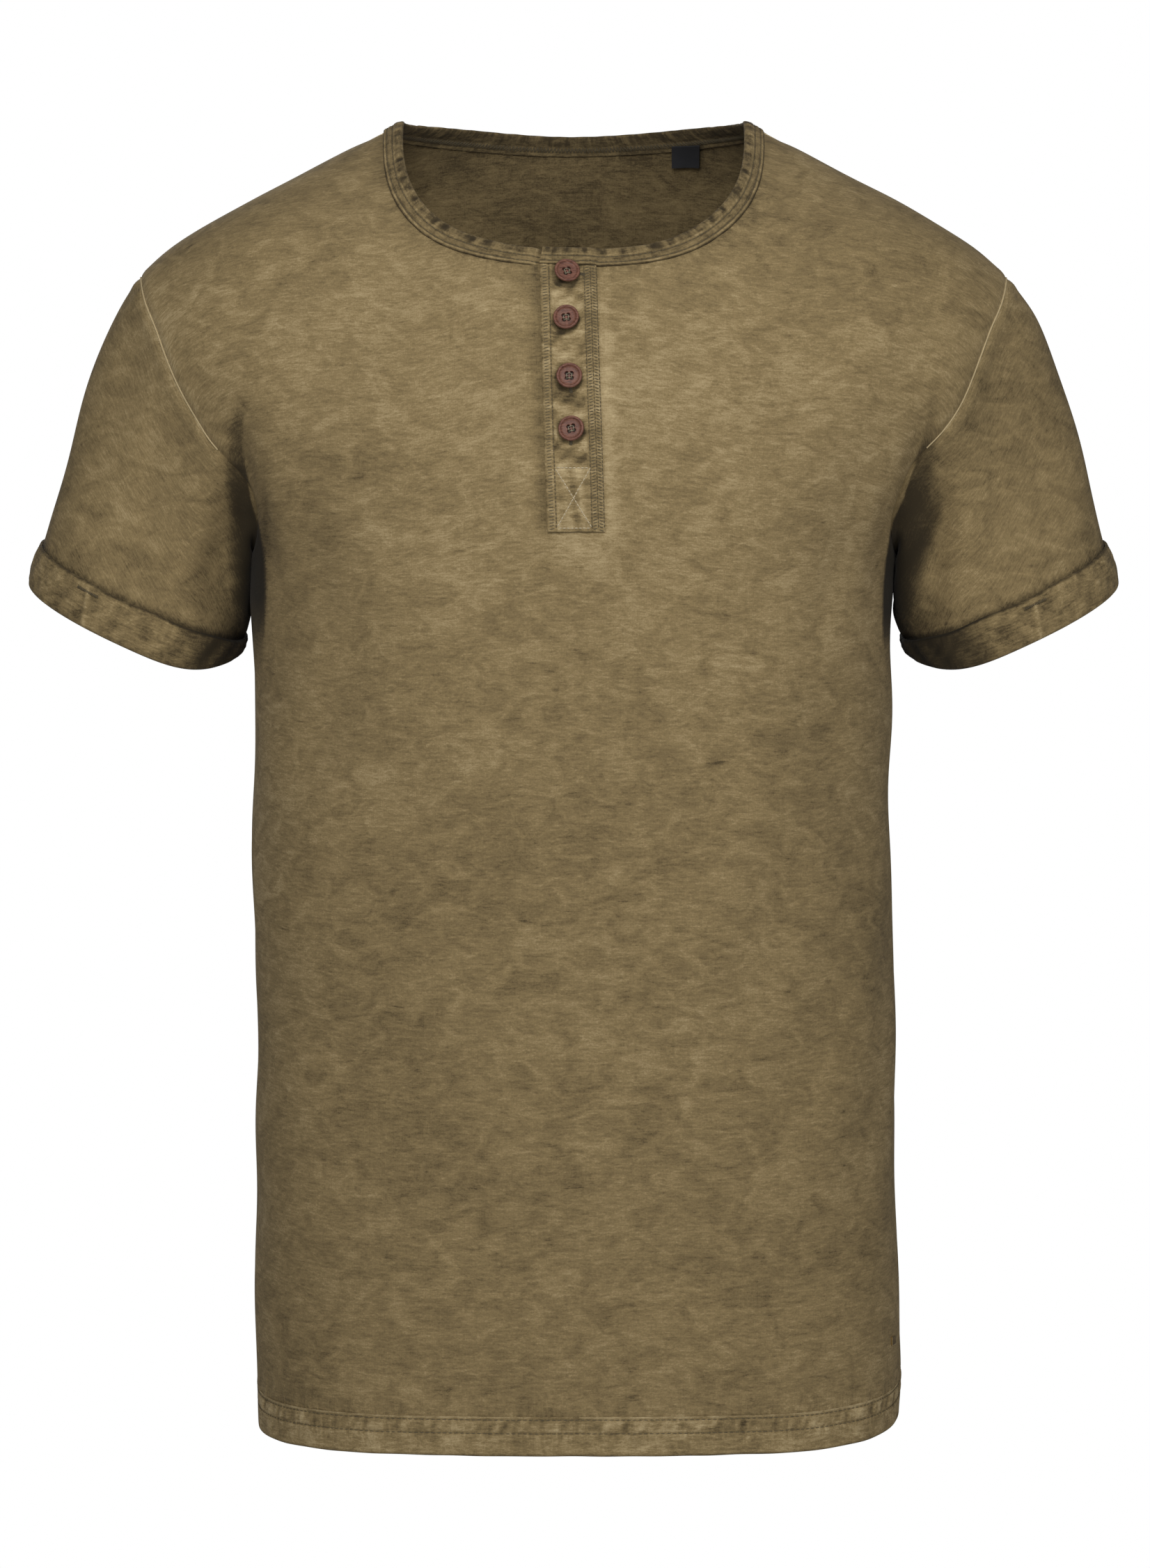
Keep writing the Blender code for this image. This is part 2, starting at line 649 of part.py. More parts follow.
def cuff_body(name, side):
    """A turned-up cuff: a ring of double cloth outside the sleeve's end, hooked under it."""
    lip = CUFF_HEIGHT - CUFF_LIP
    near, far = SEAM_GAP, SEAM_GAP + CUFF_CLOTH
    down, out = np.transpose((
        (0.0, near),
        (0.0, far),
        (CUFF_HEIGHT / 2, far + CUFF_CROWN),
        (lip, far),
        (CUFF_HEIGHT, far / 2),
        (CUFF_HEIGHT, -CLOTH / 2),
        (lip, -CLOTH),
        (lip, near),
    ))
    angle = np.linspace(0, 2 * math.pi, 2 * ARMHOLE_STEPS + 1)[:-1, None]
    sections = cuff_line(angle, down, side) + out[:, None] * cuff_normal(angle, down, side)
    ring(name, sections, "cloth", is_loop=True)


def band_angles():
    """The angles round the neck of the band's sections, from its outer end to its inner end.

    Beside the panels they are the angles of the panels' own points. The outer end lies over
    the placket, and the inner end passes under it.
    """
    half_width = section("right", NECK_RIDGE[1])
    reach = np.array((-PLACKET_HALF_WIDTH, -SLIT_HALF_WIDTH, SLIT_HALF_WIDTH))
    free, slit_left, slit_right = angle_at((PLACKET_MIDDLE_TOP + reach) / half_width, NECK_SQUARENESS)
    right = np.linspace(slit_right, QUARTER, NECK_STEPS + 1)
    behind = np.linspace(QUARTER, 3 * QUARTER, 2 * NECK_STEPS + 1)[1:]
    left = np.linspace(3 * QUARTER, 4 * QUARTER + slit_left, NECK_STEPS + 1)[1:]
    under = 4 * QUARTER + np.array((0.0, BAND_END_SHARE)) * slit_right
    return np.concatenate([[free, slit_left, 0.0], right, behind, left, under])


def neck_band(name):
    """The neck band: a thick strip round the neck, lifted where it laps over its own end."""
    angle = band_angles()
    half_width = section("right", NECK_RIDGE[1])
    slit_right = PLACKET_MIDDLE_TOP + SLIT_HALF_WIDTH
    slit_left = SLIT_HALF_WIDTH - PLACKET_MIDDLE_TOP
    free_edge = PLACKET_HALF_WIDTH - PLACKET_MIDDLE_TOP
    over = 1 - smooth_step(slit_right, slit_right + BAND_RAMP, half_width * angle)
    to_end = half_width * (4 * QUARTER - angle)
    under = 1 - smooth_step(free_edge, free_edge + BAND_RAMP, to_end)
    row, out = np.transpose(BAND_PROFILE)
    turn, height = neck(angle[:, None], row)
    normal = outward(body, *neck(angle, 0.5))
    lift = BAND_LIFT * (over - under)
    away = out + lift[:, None]
    ring(name, body(turn, height) + away[..., None] * normal[:, None], "band", is_loop=False)


def placket_strip(name, half_width, bottom, out, rise):
    """A strip of the placket, laid on the front or inside it by out, with a lifted free edge."""
    height = np.linspace(bottom, PLACKET_TOP, PLACKET_ROWS + 1)[:, None]
    across = np.linspace(-1, 1, PLACKET_STEPS + 1)
    turn = turn_at(placket_middle(height) + half_width * across, height)
    away = out + rise * smooth_step(0, 1, -across)
    outer = off_body(turn, height, away + PLACKET_CLOTH)
    wall(name, outer, off_body(turn, height, away), "placket")


def facing(point, normal):
    """The placing of a part whose Z is the normal and whose Y is as upright as can be."""
    z = Vector(normal)
    x = Vector((0, 0, 1)).cross(z).normalized()
    turned = Matrix((x, z.cross(x), z)).transposed()
    return Matrix.Translation(Vector(point)) @ turned.to_4x4()


def guide(name, mesh):
    """An object that only helps to make others."""
    obj = bpy.data.objects.new(name, mesh)
    obj.hide_render = True
    obj.display_type = "WIRE"
    bpy.data.collections["guides"].objects.link(obj)
    return obj


def button_drill():
    """Four round drills for a button's holes."""
    bm = bmesh.new()
    for i in range(4):
        turned = QUARTER * (i + 0.5)
        place = Vector((math.cos(turned), math.sin(turned), 0)) * BUTTON_HOLE_FROM_AXIS
        place.z = BUTTON_PROFILE[-1][1]
        bmesh.ops.create_cone(
            bm,
            cap_ends=True,
            segments=BUTTON_HOLE_SIDES,
            radius1=BUTTON_HOLE_RADIUS,
            radius2=BUTTON_HOLE_RADIUS,
            depth=2 * BUTTON_HOLE_DEPTH,
            matrix=Matrix.Translation(place),
        )
    mesh = bpy.data.meshes.new("button_drill")
    bm.to_mesh(mesh)
    bm.free()
    return guide("button_drill", mesh)


def button_mesh():
    """A turned button with a thread shank behind it and four blind holes in its face."""
    points = [(radius, 0, out) for radius, out in reversed(BUTTON_PROFILE)]
    profile = bpy.data.meshes.new("button_profile")
    profile.from_pydata(points, [(i, i + 1) for i in range(len(points) - 1)], [])
    blank = guide("button_blank", profile)
    screw = blank.modifiers.new("turned", "SCREW")
    screw.steps = screw.render_steps = BUTTON_SIDES
    screw.use_merge_vertices = True
    screw.merge_threshold = 0.0001
    cut = blank.modifiers.new("holes", "BOOLEAN")
    cut.operation = "DIFFERENCE"
    cut.object = button_drill()
    evaluated = blank.evaluated_get(bpy.context.evaluated_depsgraph_get())
    return bpy.data.meshes.new_from_object(evaluated)


def buttons():
    """The buttons stand on the outer strip, each tilted a little about its upright axis."""
    mesh = button_mesh()
    stand = SEAM_GAP + PLACKET_CLOTH + FREE_EDGE_RISE + SEAM_GAP
    for number, (across, height, tilt) in enumerate(BUTTONS, start=1):
        turn = turn_at(across, height)
        placing = facing(off_body(turn, height, stand), outward(body, turn, height))
        obj = new_object(f"button_{number}", mesh.copy(), "button")
        obj.matrix_world = placing @ Euler((0, math.radians(tilt), 0)).to_matrix().to_4x4()


def size_label(name):
    """A small woven label that hangs inside the back of the neck."""
    height = np.linspace(LABEL_BOTTOM, LABEL_TOP, LABEL_STEPS + 1)[:, None]
    across = np.linspace(*LABEL_ACROSS, LABEL_STEPS + 1)
    sine = across / section("right", height)
    turn = 2 * QUARTER - angle_at(sine, section("squareness", height))
    out = -CLOTH - LABEL_STAND_OFF
    wall(name, off_body(turn, height, out), off_body(turn, height, out - LABEL_CLOTH), "label")


def hem_plate(name):
    """A little plain metal plate on the cloth near the side seam, bent to it."""
    width, thick, tall = PLATE_SIZE
    half_turn = width / 2 / np.linalg.norm(body(PLATE_TURN, PLATE_HEIGHT)[:2])
    steps = np.linspace(-1, 1, PLATE_STEPS + 1)
    turn = PLATE_TURN + half_turn * steps
    height = PLATE_HEIGHT + tall / 2 * steps[:, None]
    outer = off_body(turn, height, SEAM_GAP + thick)
    plate = wall(name, outer, off_body(turn, height, SEAM_GAP), "brass")
    bevel = plate.modifiers.new("edge", "BEVEL")
    bevel.width = PLATE_EDGE
    bevel.segments = 1


def build():
    for obj in list(bpy.data.objects):
        bpy.data.objects.remove(obj, do_unlink=True)
    collection("henley")
    collection("guides")
    panel("front", FRONT)
    panel("back", BACK)
    for name, side in (("left", -1), ("right", 1)):
        sleeve_body(f"sleeve_{name}", side)
        cuff_body(f"cuff_{name}", side)
    neck_band("neck_band")
    placket_strip("placket_over", PLACKET_HALF_WIDTH, PLACKET_BOTTOM, SEAM_GAP, FREE_EDGE_RISE)
    inside = -CLOTH - LAYER_GAP - PLACKET_CLOTH
    placket_strip("placket_under", UNDER_HALF_WIDTH, PLACKET_BOTTOM + SEAM_GAP, inside, 0.0)
    buttons()
    size_label("size_label")
    hem_plate("hem_plate")


build()
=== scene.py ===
"""The looks of a short-sleeved jersey top with a round neck, a button placket and turned-up cuffs.

Every piece of cloth is a thin shell laid on the same surfaces as its solid, with finer folds,
puckers and stitching. The body's surface is a function of a turn round the body (0 at the
middle of the front, a quarter turn at the viewer's right) and a height.
"""

import math

import bpy
import numpy as np
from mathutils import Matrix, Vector


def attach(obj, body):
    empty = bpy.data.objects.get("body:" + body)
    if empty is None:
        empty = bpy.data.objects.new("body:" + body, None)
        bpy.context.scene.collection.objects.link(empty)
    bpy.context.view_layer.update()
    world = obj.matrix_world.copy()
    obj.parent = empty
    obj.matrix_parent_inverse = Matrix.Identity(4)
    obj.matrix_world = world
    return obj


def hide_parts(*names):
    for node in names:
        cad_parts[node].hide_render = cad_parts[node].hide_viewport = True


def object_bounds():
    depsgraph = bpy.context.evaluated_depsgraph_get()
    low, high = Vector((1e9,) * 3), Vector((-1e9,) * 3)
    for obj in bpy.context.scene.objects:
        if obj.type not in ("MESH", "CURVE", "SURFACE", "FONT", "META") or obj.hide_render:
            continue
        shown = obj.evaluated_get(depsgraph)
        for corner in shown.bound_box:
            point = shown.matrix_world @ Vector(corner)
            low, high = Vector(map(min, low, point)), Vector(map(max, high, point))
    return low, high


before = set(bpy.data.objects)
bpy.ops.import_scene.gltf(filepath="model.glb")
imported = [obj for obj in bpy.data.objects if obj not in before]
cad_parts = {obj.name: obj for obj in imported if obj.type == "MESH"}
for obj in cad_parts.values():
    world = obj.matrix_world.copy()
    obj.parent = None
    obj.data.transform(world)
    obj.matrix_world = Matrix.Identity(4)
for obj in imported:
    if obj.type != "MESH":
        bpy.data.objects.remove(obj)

cad_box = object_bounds()

QUARTER = math.pi / 2
TURN = 2 * math.pi
FRONT, BACK = 1, -1

# The solids' measures, in metres
CLOTH = 0.0015
HEM_DEPTH = 0.0205
SECTION_COLUMNS = ("height", "left", "right", "front", "back", "squareness")
SECTIONS = np.array((
    (-0.710, 0.1695, 0.1735, 0.1180, 0.1120, 2.68),
    (-0.670, 0.1708, 0.1748, 0.1180, 0.1115, 2.65),
    (-0.610, 0.1700, 0.1730, 0.1182, 0.1100, 2.60),
    (-0.520, 0.1700, 0.1712, 0.1190, 0.1075, 2.55),
    (-0.430, 0.1708, 0.1712, 0.1205, 0.1075, 2.52),
    (-0.340, 0.1716, 0.1702, 0.1240, 0.1115, 2.50),
    (-0.290, 0.1724, 0.1712, 0.1258, 0.1145, 2.45),
    (-0.262, 0.1730, 0.1722, 0.1264, 0.1155, 2.42),
    (-0.236, 0.1745, 0.1745, 0.1265, 0.1162, 2.40),
    (-0.214, 0.1875, 0.1875, 0.1255, 0.1163, 2.38),
    (-0.196, 0.2015, 0.2015, 0.1242, 0.1160, 2.36),
    (-0.172, 0.2205, 0.2205, 0.1212, 0.1142, 2.35),
    (-0.146, 0.2365, 0.2365, 0.1162, 0.1122, 2.32),
    (-0.120, 0.2440, 0.2440, 0.1095, 0.1085, 2.30),
    (-0.100, 0.2430, 0.2430, 0.1025, 0.1050, 2.28),
    (-0.084, 0.2335, 0.2335, 0.0955, 0.1012, 2.26),
    (-0.070, 0.2190, 0.2190, 0.0885, 0.0980, 2.24),
    (-0.0435, 0.1735, 0.1735, 0.0705, 0.0905, 2.20),
    (-0.0285, 0.1445, 0.1445, 0.0575, 0.0855, 2.20),
    (-0.0135, 0.1160, 0.1160, 0.0435, 0.0790, 2.20),
    (0.000, 0.0915, 0.0915, 0.0280, 0.0720, 2.20),
    (0.020, 0.0560, 0.0560, 0.0100, 0.0600, 2.20),
))
SHOULDER_TIP = -0.084
UNDERARM = -0.236
ARMHOLE_MIDDLE = (SHOULDER_TIP + UNDERARM) / 2
ARMHOLE_HALF_HEIGHT = (SHOULDER_TIP - UNDERARM) / 2
ARMHOLE_FRONT_TURN = math.radians(32)
ARMHOLE_BACK_TURN = math.radians(29)
ARMHOLE_SQUARENESS = 2.5
HEM_SIDE = -0.6925
HEM_RIGHT_RISE = 0.0035
HEM_FRONT_DROP = 0.0130
HEM_BACK_DROP = 0.0105
HEM_CURVE = 2.6
NECK_RIDGE = (0.0, -0.0055)
NECK_FRONT_DROP = (0.0770, 0.0810)
NECK_BACK_DROP = (0.0, 0.0043)
NECK_BACK_RISE = 0.0022
NECK_SQUARENESS = 2.75
PLACKET_TOP = -0.0868
PLACKET_BOTTOM = -0.2270
SLIT_BOTTOM = -0.2050
PLACKET_MIDDLE_TOP = -0.0030
PLACKET_MIDDLE_BOTTOM = 0.0014
PLACKET_HALF_WIDTH = 0.0148
UNDER_HALF_WIDTH = 0.0135
SLIT_HALF_WIDTH = 0.0112
CUFF_TOP_MIDDLE = np.array((0.2321, 0.0032, -0.2520))
CUFF_OUTWARD = np.array((0.908, 0.0, 0.418))
CUFF_FORWARD = np.array((0.0, -0.975, -0.222))
CUFF_FALL = np.array((0.300, 0.120, -0.946))
CUFF_HALF_WIDTH = 0.0590
CUFF_HALF_DEPTH = 0.0490
CUFF_SQUARENESS = 2.25
CUFF_HEIGHT = 0.0230
CUFF_INNER_SHORTER = 0.62
CUFF_INNER_BACK = 0.012
SLEEVE_PULL = (0.85, 0.75)
SLEEVE_TURN_DOWN = 0.50
SLEEVE_TURN_DOWN_ANGLE = math.radians(100)
CENTRE_BREAK = -0.300
GIRTH_SHARE = 0.87

# The buttons: x, height, tilt in degrees, and how far the thread's bars are turned
BUTTONS = (
    (-0.0037, -0.0918, 6, 0.30),
    (-0.0037, -0.1165, -5, 0.12),
    (-0.0019, -0.1468, 5, 0.05),
    (-0.0008, -0.1745, -4, 0.20),
)
BUTTON_RADIUS = 0.0067

# How fine the grids are
ARMHOLE_STEPS = 102
NECK_STEPS = 48
SHOULDER_STEPS = 30
SLIT_STEPS_BELOW = 42
SKIRT_ROWS = 112
SLEEVE_ROWS = 72
NET_ROUNDS = 120
NET_COARSEST = 30

# The main folds of the body: face, top x and z, lower x and z, width, push, place of the peak
FOLDS = (
    (FRONT, -0.180, -0.138, -0.178, -0.245, 0.0110, -0.0110, 0.70),
    (FRONT, 0.192, -0.136, 0.179, -0.245, 0.0110, -0.0100, 0.70),
    (FRONT, -0.102, -0.254, -0.155, -0.390, 0.0150, -0.0035, 0.50),
    (FRONT, 0.122, -0.285, 0.158, -0.421, 0.0140, -0.0030, 0.45),
    (FRONT, -0.104, -0.470, -0.132, -0.535, 0.0160, -0.0020, 0.50),
    (BACK, -0.176, -0.140, -0.172, -0.245, 0.0100, -0.0100, 0.72),
    (BACK, 0.178, -0.142, 0.173, -0.245, 0.0100, -0.0110, 0.72),
    (BACK, 0.000, -0.200, 0.004, -0.620, 0.0450, -0.0060, 0.45),
    (BACK, -0.080, -0.300, -0.135, -0.480, 0.0160, -0.0030, 0.50),
    (BACK, 0.092, -0.320, 0.140, -0.470, 0.0150, -0.0030, 0.50),
)
# Small creases on top of them, in the same columns
CREASES = (
    (FRONT, -0.0215, -0.084, -0.0205, -0.262, 0.0065, -0.0016, 0.45),
    (FRONT, 0.0260, -0.092, 0.0250, -0.262, 0.0075, 0.0009, 0.60),
    (FRONT, -0.166, -0.185, -0.158, -0.262, 0.0050, -0.0024, 0.50),
    (FRONT, 0.170, -0.178, 0.160, -0.268, 0.0060, -0.0020, 0.45),
    (FRONT, -0.150, -0.196, -0.118, -0.292, 0.0085, -0.0014, 0.40),
    (FRONT, 0.152, -0.205, 0.112, -0.318, 0.0090, -0.0014, 0.45),
    (FRONT, -0.060, -0.340, -0.120, -0.470, 0.0130, -0.0012, 0.50),
    (FRONT, 0.070, -0.400, 0.130, -0.560, 0.0140, -0.0012, 0.50),
    (FRONT, 0.010, -0.560, -0.060, -0.660, 0.0150, -0.0010, 0.50),
    (FRONT, -0.128, -0.100, -0.075, -0.128, 0.0090, -0.0009, 0.50),
    (FRONT, 0.135, -0.104, 0.080, -0.140, 0.0100, -0.0009, 0.50),
    (FRONT, 0.026, -0.664, 0.034, -0.702, 0.0035, 0.0016, 0.80),
    (BACK, -0.120, -0.110, -0.040, -0.150, 0.0120, -0.0014, 0.50),
    (BACK, 0.120, -0.116, 0.050, -0.160, 0.0120, -0.0014, 0.50),
    (BACK, -0.060, -0.420, -0.010, -0.600, 0.0140, -0.0014, 0.50),
    (BACK, 0.070, -0.440, 0.020, -0.620, 0.0140, -0.0014, 0.50),
    (BACK, -0.158, -0.190, -0.120, -0.300, 0.0085, -0.0018, 0.45),
    (BACK, 0.158, -0.196, 0.116, -0.310, 0.0085, -0.0018, 0.45),
)
# Folds of the sleeves: side, top and lower angle, top and lower share, width, push
SLEEVE_FOLDS = (
    (1, 1.75, 2.45, 0.02, 0.98, 0.20, -0.0050),
    (-1, 2.05, 2.35, 0.05, 0.98, 0.22, -0.0040),
    (1, 4.30, 3.90, 0.05, 0.95, 0.22, -0.0040),
    (-1, 4.15, 3.85, 0.05, 0.95, 0.24, -0.0045),
    (1, 3.14, 3.14, 0.35, 1.00, 0.42, 0.0055),
    (-1, 3.14, 3.14, 0.35, 1.00, 0.42, 0.0048),
    (1, 2.65, 2.65, 0.10, 0.98, 0.36, 0.0072),
    (-1, 2.55, 2.55, 0.02, 0.95, 0.30, 0.0032),
    (1, 1.25, 1.65, 0.08, 0.80, 0.10, -0.0012),
    (-1, 1.30, 1.55, 0.08, 0.85, 0.10, -0.0012),
    (1, 2.75, 2.95, 0.10, 0.90, 0.12, -0.0018),
    (-1, 2.80, 2.95, 0.10, 0.90, 0.12, -0.0018),
)
SLEEVE_FOLD_FADE = 1.2


# ---------------------------------------------------------------- surfaces


def unit(v):
    return v / np.linalg.norm(v, axis=-1, keepdims=True)


def smooth_step(low, high, x):
    t = np.clip((x - low) / (high - low), 0, 1)
    return t * t * (3 - 2 * t)


def bell(x, middle, width):
    """1 at the middle, and 1/e a width away from it: exp(-((x - middle) / width)^2)."""
    return np.exp(-(((x - middle) / width) ** 2))


def through(places, values, at):
    """The smooth curve through the values at rising places: a cubic between each two of them."""
    slopes = np.gradient(values, places)
    i = np.clip(np.searchsorted(places, at) - 1, 0, len(places) - 2)
    step = places[i + 1] - places[i]
    t = np.clip((at - places[i]) / step, 0, 1)
    back, ahead = (1 - t) ** 2, t**2
    return (
        values[i] * back * (1 + 2 * t)
        + values[i + 1] * ahead * (3 - 2 * t)
        + step * (slopes[i] * back * t - slopes[i + 1] * ahead * (1 - t))
    )


def section(column, height):
    """One column of the body's sections, at any height."""
    return through(SECTIONS[:, 0], SECTIONS[:, SECTION_COLUMNS.index(column)], height)


def rounded(angle, squareness):
    """The sine and cosine of an angle, pushed out onto a rounded square."""
    s, c = np.sin(angle), np.cos(angle)
    reach = (np.abs(s) ** squareness + np.abs(c) ** squareness) ** (-1 / squareness)
    return s * reach, c * reach


def angle_at(sine, squareness):
    """The angle whose pushed-out sine this is, between a quarter turn back and ahead."""
    sine = np.clip(sine, -1, 1)
    return np.arctan2(sine, (1 - np.abs(sine) ** squareness) ** (1 / squareness))


def side_width(x, height):
    return np.where(np.asarray(x) < 0, section("left", height), section("right", height))


def turn_at(x, height):
    """The turn at which the front of the body has this x, at a height."""
    return angle_at(x / side_width(x, height), section("squareness", height))


def bare_body(turn, height):
    """A point of the body's outer face before its folds."""
    turn, height = np.broadcast_arrays(turn, height)
    s, c = rounded(turn, section("squareness", height))
    depth = np.where(c > 0, section("front", height), section("back", height))
    return np.stack([side_width(s, height) * s, -depth * c, height], axis=-1)


def outward(surface, u, v, step=1e-4):
    """The unit normal of a surface of two parameters, from small steps each way."""
    u, v = np.broadcast_arrays(u, v)
    along_u = surface(u + step, v) - surface(u - step, v)
    along_v = surface(u, v + step) - surface(u, v - step)
    return unit(np.cross(along_u, along_v))


def along_fold(x, z, top, low, width, peak):
    """How strongly a fold from top to low acts at a place: 1 on its line where it is deepest."""
    line = np.subtract(low, top)
    length = np.hypot(*line)
    share = ((x - top[0]) * line[0] + (z - top[1]) * line[1]) / length**2
    away = ((x - top[0]) * line[1] - (z - top[1]) * line[0]) / length
    ends = smooth_step(0, peak, share) * (1 - smooth_step(peak, 1, share))
    return ends * bell(away, 0, width)


SWELL_WAVES = 14
SWELL_HEIGHT = 0.00032
SWELL_LENGTHS = (0.045, 0.150)


def swell(point):
    """Slack in the cloth: a sum of plane waves in random directions, the same for every piece."""
    rng = np.random.default_rng(11)
    way = unit(rng.normal(size=(SWELL_WAVES, 3)) * (1.0, 0.6, 0.8))
    length = rng.uniform(*SWELL_LENGTHS, SWELL_WAVES)
    shift = rng.uniform(0, TURN, SWELL_WAVES)
    total = np.zeros(point.shape[:-1])
    for k in range(SWELL_WAVES):
        total = total + np.sin(TURN * (point @ way[k]) / length[k] + shift[k])
    return SWELL_HEIGHT * total


def body(turn, height):
    """A point of the body's outer face, with its folds, small creases and slack."""
    turn, height = np.broadcast_arrays(turn, height)
    place = bare_body(turn, height)
    push = swell(place) * (1 - 0.85 * smooth_step(-0.085, -0.030, height))
    for face, top_x, top_z, low_x, low_z, width, depth, peak in FOLDS + CREASES:
        on_face = smooth_step(0.0, 0.25, face * np.cos(turn))
        fold = along_fold(place[..., 0], height, (top_x, top_z), (low_x, low_z), width, peak)
        push = push + depth * on_face * fold
    return place + push[..., None] * outward(bare_body, turn, height)


def off_body(turn, height, out):
    """A point moved out from the body's outer face, or in where out is below 0."""
    turn, height, out = np.broadcast_arrays(turn, height, out)
    return body(turn, height) + out[..., None] * outward(body, turn, height)


def hem(turn):
    """The hem's height: lowest at the middle of the front and back, and higher at one side."""
    c = np.cos(turn)
    drop = np.where(c > 0, HEM_FRONT_DROP, HEM_BACK_DROP)
    rise = HEM_RIGHT_RISE * smooth_step(0.6, 1.0, np.sin(turn))
    return HEM_SIDE + rise - drop * (1 - (1 - np.abs(c)) ** HEM_CURVE)


def neck(angle, row):
    """The neck at a row of its band, as a turn and a height. The angle starts at the front."""
    angle, row = np.broadcast_arrays(np.asarray(angle, float), row)
    s, c = rounded(angle, NECK_SQUARENESS)
    ridge, front_drop, back_drop = (
        values[0] + (values[1] - values[0]) * row
        for values in (NECK_RIDGE, NECK_FRONT_DROP, NECK_BACK_DROP)
    )
    rise = NECK_BACK_RISE * np.sin(2 * angle) ** 2
    height = ridge - np.where(c > 0, front_drop * c, -back_drop * c - rise)
    front_turn = turn_at(side_width(s, ridge) * s, height)
    return np.where(c > 0, front_turn, angle), height


def armhole(angle, side):
    """The armhole seam as a turn and a height. The angle starts at the shoulder tip, forwards."""
    s, c = rounded(angle, ARMHOLE_SQUARENESS)
    swing = np.where(s > 0, ARMHOLE_FRONT_TURN, ARMHOLE_BACK_TURN)
    return side * (QUARTER - swing * s), ARMHOLE_MIDDLE + ARMHOLE_HALF_HEIGHT * c


def placket_middle(height):
    share = np.clip((height - PLACKET_TOP) / (PLACKET_BOTTOM - PLACKET_TOP), 0, 1)
    return PLACKET_MIDDLE_TOP + (PLACKET_MIDDLE_BOTTOM - PLACKET_MIDDLE_TOP) * share


def cuff_line(angle, down, side):
    """A point of the sleeve's outer face under the cuff, so far down from the cuff's top.

    Towards the body the ring lies further back, and the cuff is lower.
    """
    angle, down = np.broadcast_arrays(angle, down)
    s, c = rounded(angle, CUFF_SQUARENESS)
    inner = np.clip(-c, 0, 1) ** 4
    point = (
        CUFF_TOP_MIDDLE
        + CUFF_HALF_WIDTH * c[..., None] * CUFF_OUTWARD
        + CUFF_HALF_DEPTH * s[..., None] * CUFF_FORWARD
        + (down * (1 - CUFF_INNER_SHORTER * inner))[..., None] * CUFF_FALL
    )
    point[..., 1] += CUFF_INNER_BACK * inner
    return point * (side, 1, 1)


def cuff_normal(angle, down, side):
    return side * outward(lambda u, v: cuff_line(u, v, side), angle, down)


def sleeve_seam(angle, side):
    """The armhole seam: its points, the way on along the body's face, and the normal there."""
    point = body(*armhole(angle, side))
    normal = outward(body, *armhole(angle, side))
    step = 1e-3
    along = unit(body(*armhole(angle + step, side)) - body(*armhole(angle - step, side)))
    onward = side * np.cross(normal, along)
    from_tip = np.minimum(angle % TURN, TURN - angle % TURN)
    lean = (SLEEVE_TURN_DOWN * smooth_step(0, SLEEVE_TURN_DOWN_ANGLE, from_tip))[..., None]
    away = unit((1 - lean) * onward + lean * unit(cuff_line(angle, 0.0, side) - point))
    shared = unit(normal + side * unit(np.cross(along, away)))
    return point, onward, away, shared


def bare_sleeve(angle, share, side):
    """The sleeve's outer face before its folds: cubics from the armhole into the cuff."""
    angle, share = np.broadcast_arrays(angle, share)
    t = share[..., None]
    start, _, away, _ = sleeve_seam(angle, side)
    end = cuff_line(angle, 0.0, side)
    reach = np.linalg.norm(end - start, axis=-1, keepdims=True)
    leave = SLEEVE_PULL[0] * reach * away
    arrive = SLEEVE_PULL[1] * reach * CUFF_FALL * (side, 1, 1)
    return (
        start * (1 - t) ** 2 * (1 + 2 * t)
        + leave * (1 - t) ** 2 * t
        + end * t**2 * (3 - 2 * t)
        - arrive * t**2 * (1 - t)
    )


def sleeve(angle, share, side):
    """The sleeve's outer face, with its folds and the slack of its cloth between its two ends."""
    angle, share = np.broadcast_arrays(angle, share)
    place = bare_sleeve(angle, share, side)
    push = swell(place) * smooth_step(0, 0.2, share) * (1 - smooth_step(0.8, 1, share))
    for fold_side, top_turn, low_turn, top, low, width, depth in SLEEVE_FOLDS:
        if fold_side == side:
            along = np.clip((share - top) / (low - top), 0, 1)
            line = top_turn + (low_turn - top_turn) * along
            strength = np.sin(math.pi * along) ** SLEEVE_FOLD_FADE
            push = push + depth * strength * bell(angle, line, width)
    normal = side * outward(lambda u, v: bare_sleeve(u, v, side), angle, share, 1e-3)
    return place + push[..., None] * normal


# ---------------------------------------------------------------- measuring along and across


def lengths_along(line):
    """The length of a polyline from its start to each of its points."""
    steps = np.linalg.norm(np.diff(line, axis=0), axis=-1)
    return np.concatenate([[0.0], np.cumsum(steps)])


def near(points, line):
    """For each point, its distance from a polyline and how far along that nearest place is."""
    flat = points.reshape(-1, 3)
    start, step = line[:-1], np.diff(line, axis=0)
    middle = start + step / 2
    size = np.linalg.norm(step, axis=-1)
    travelled = lengths_along(line)[:-1]
    gaps, places = [], []
    for part in np.array_split(flat, max(1, len(flat) // 4000)):
        square = (middle**2).sum(-1) - 2 * part @ middle.T
        k = square.argmin(axis=1)
        share = ((part - start[k]) * step[k]).sum(-1) / size[k] ** 2
        share = np.clip(share, -0.5, 1.5)
        foot = start[k] + np.clip(share, 0, 1)[:, None] * step[k]
        gaps.append(np.linalg.norm(part - foot, axis=-1))
        places.append(travelled[k] + share * size[k])
    shape = points.shape[:-1]
    return np.concatenate(gaps).reshape(shape), np.concatenate(places).reshape(shape)


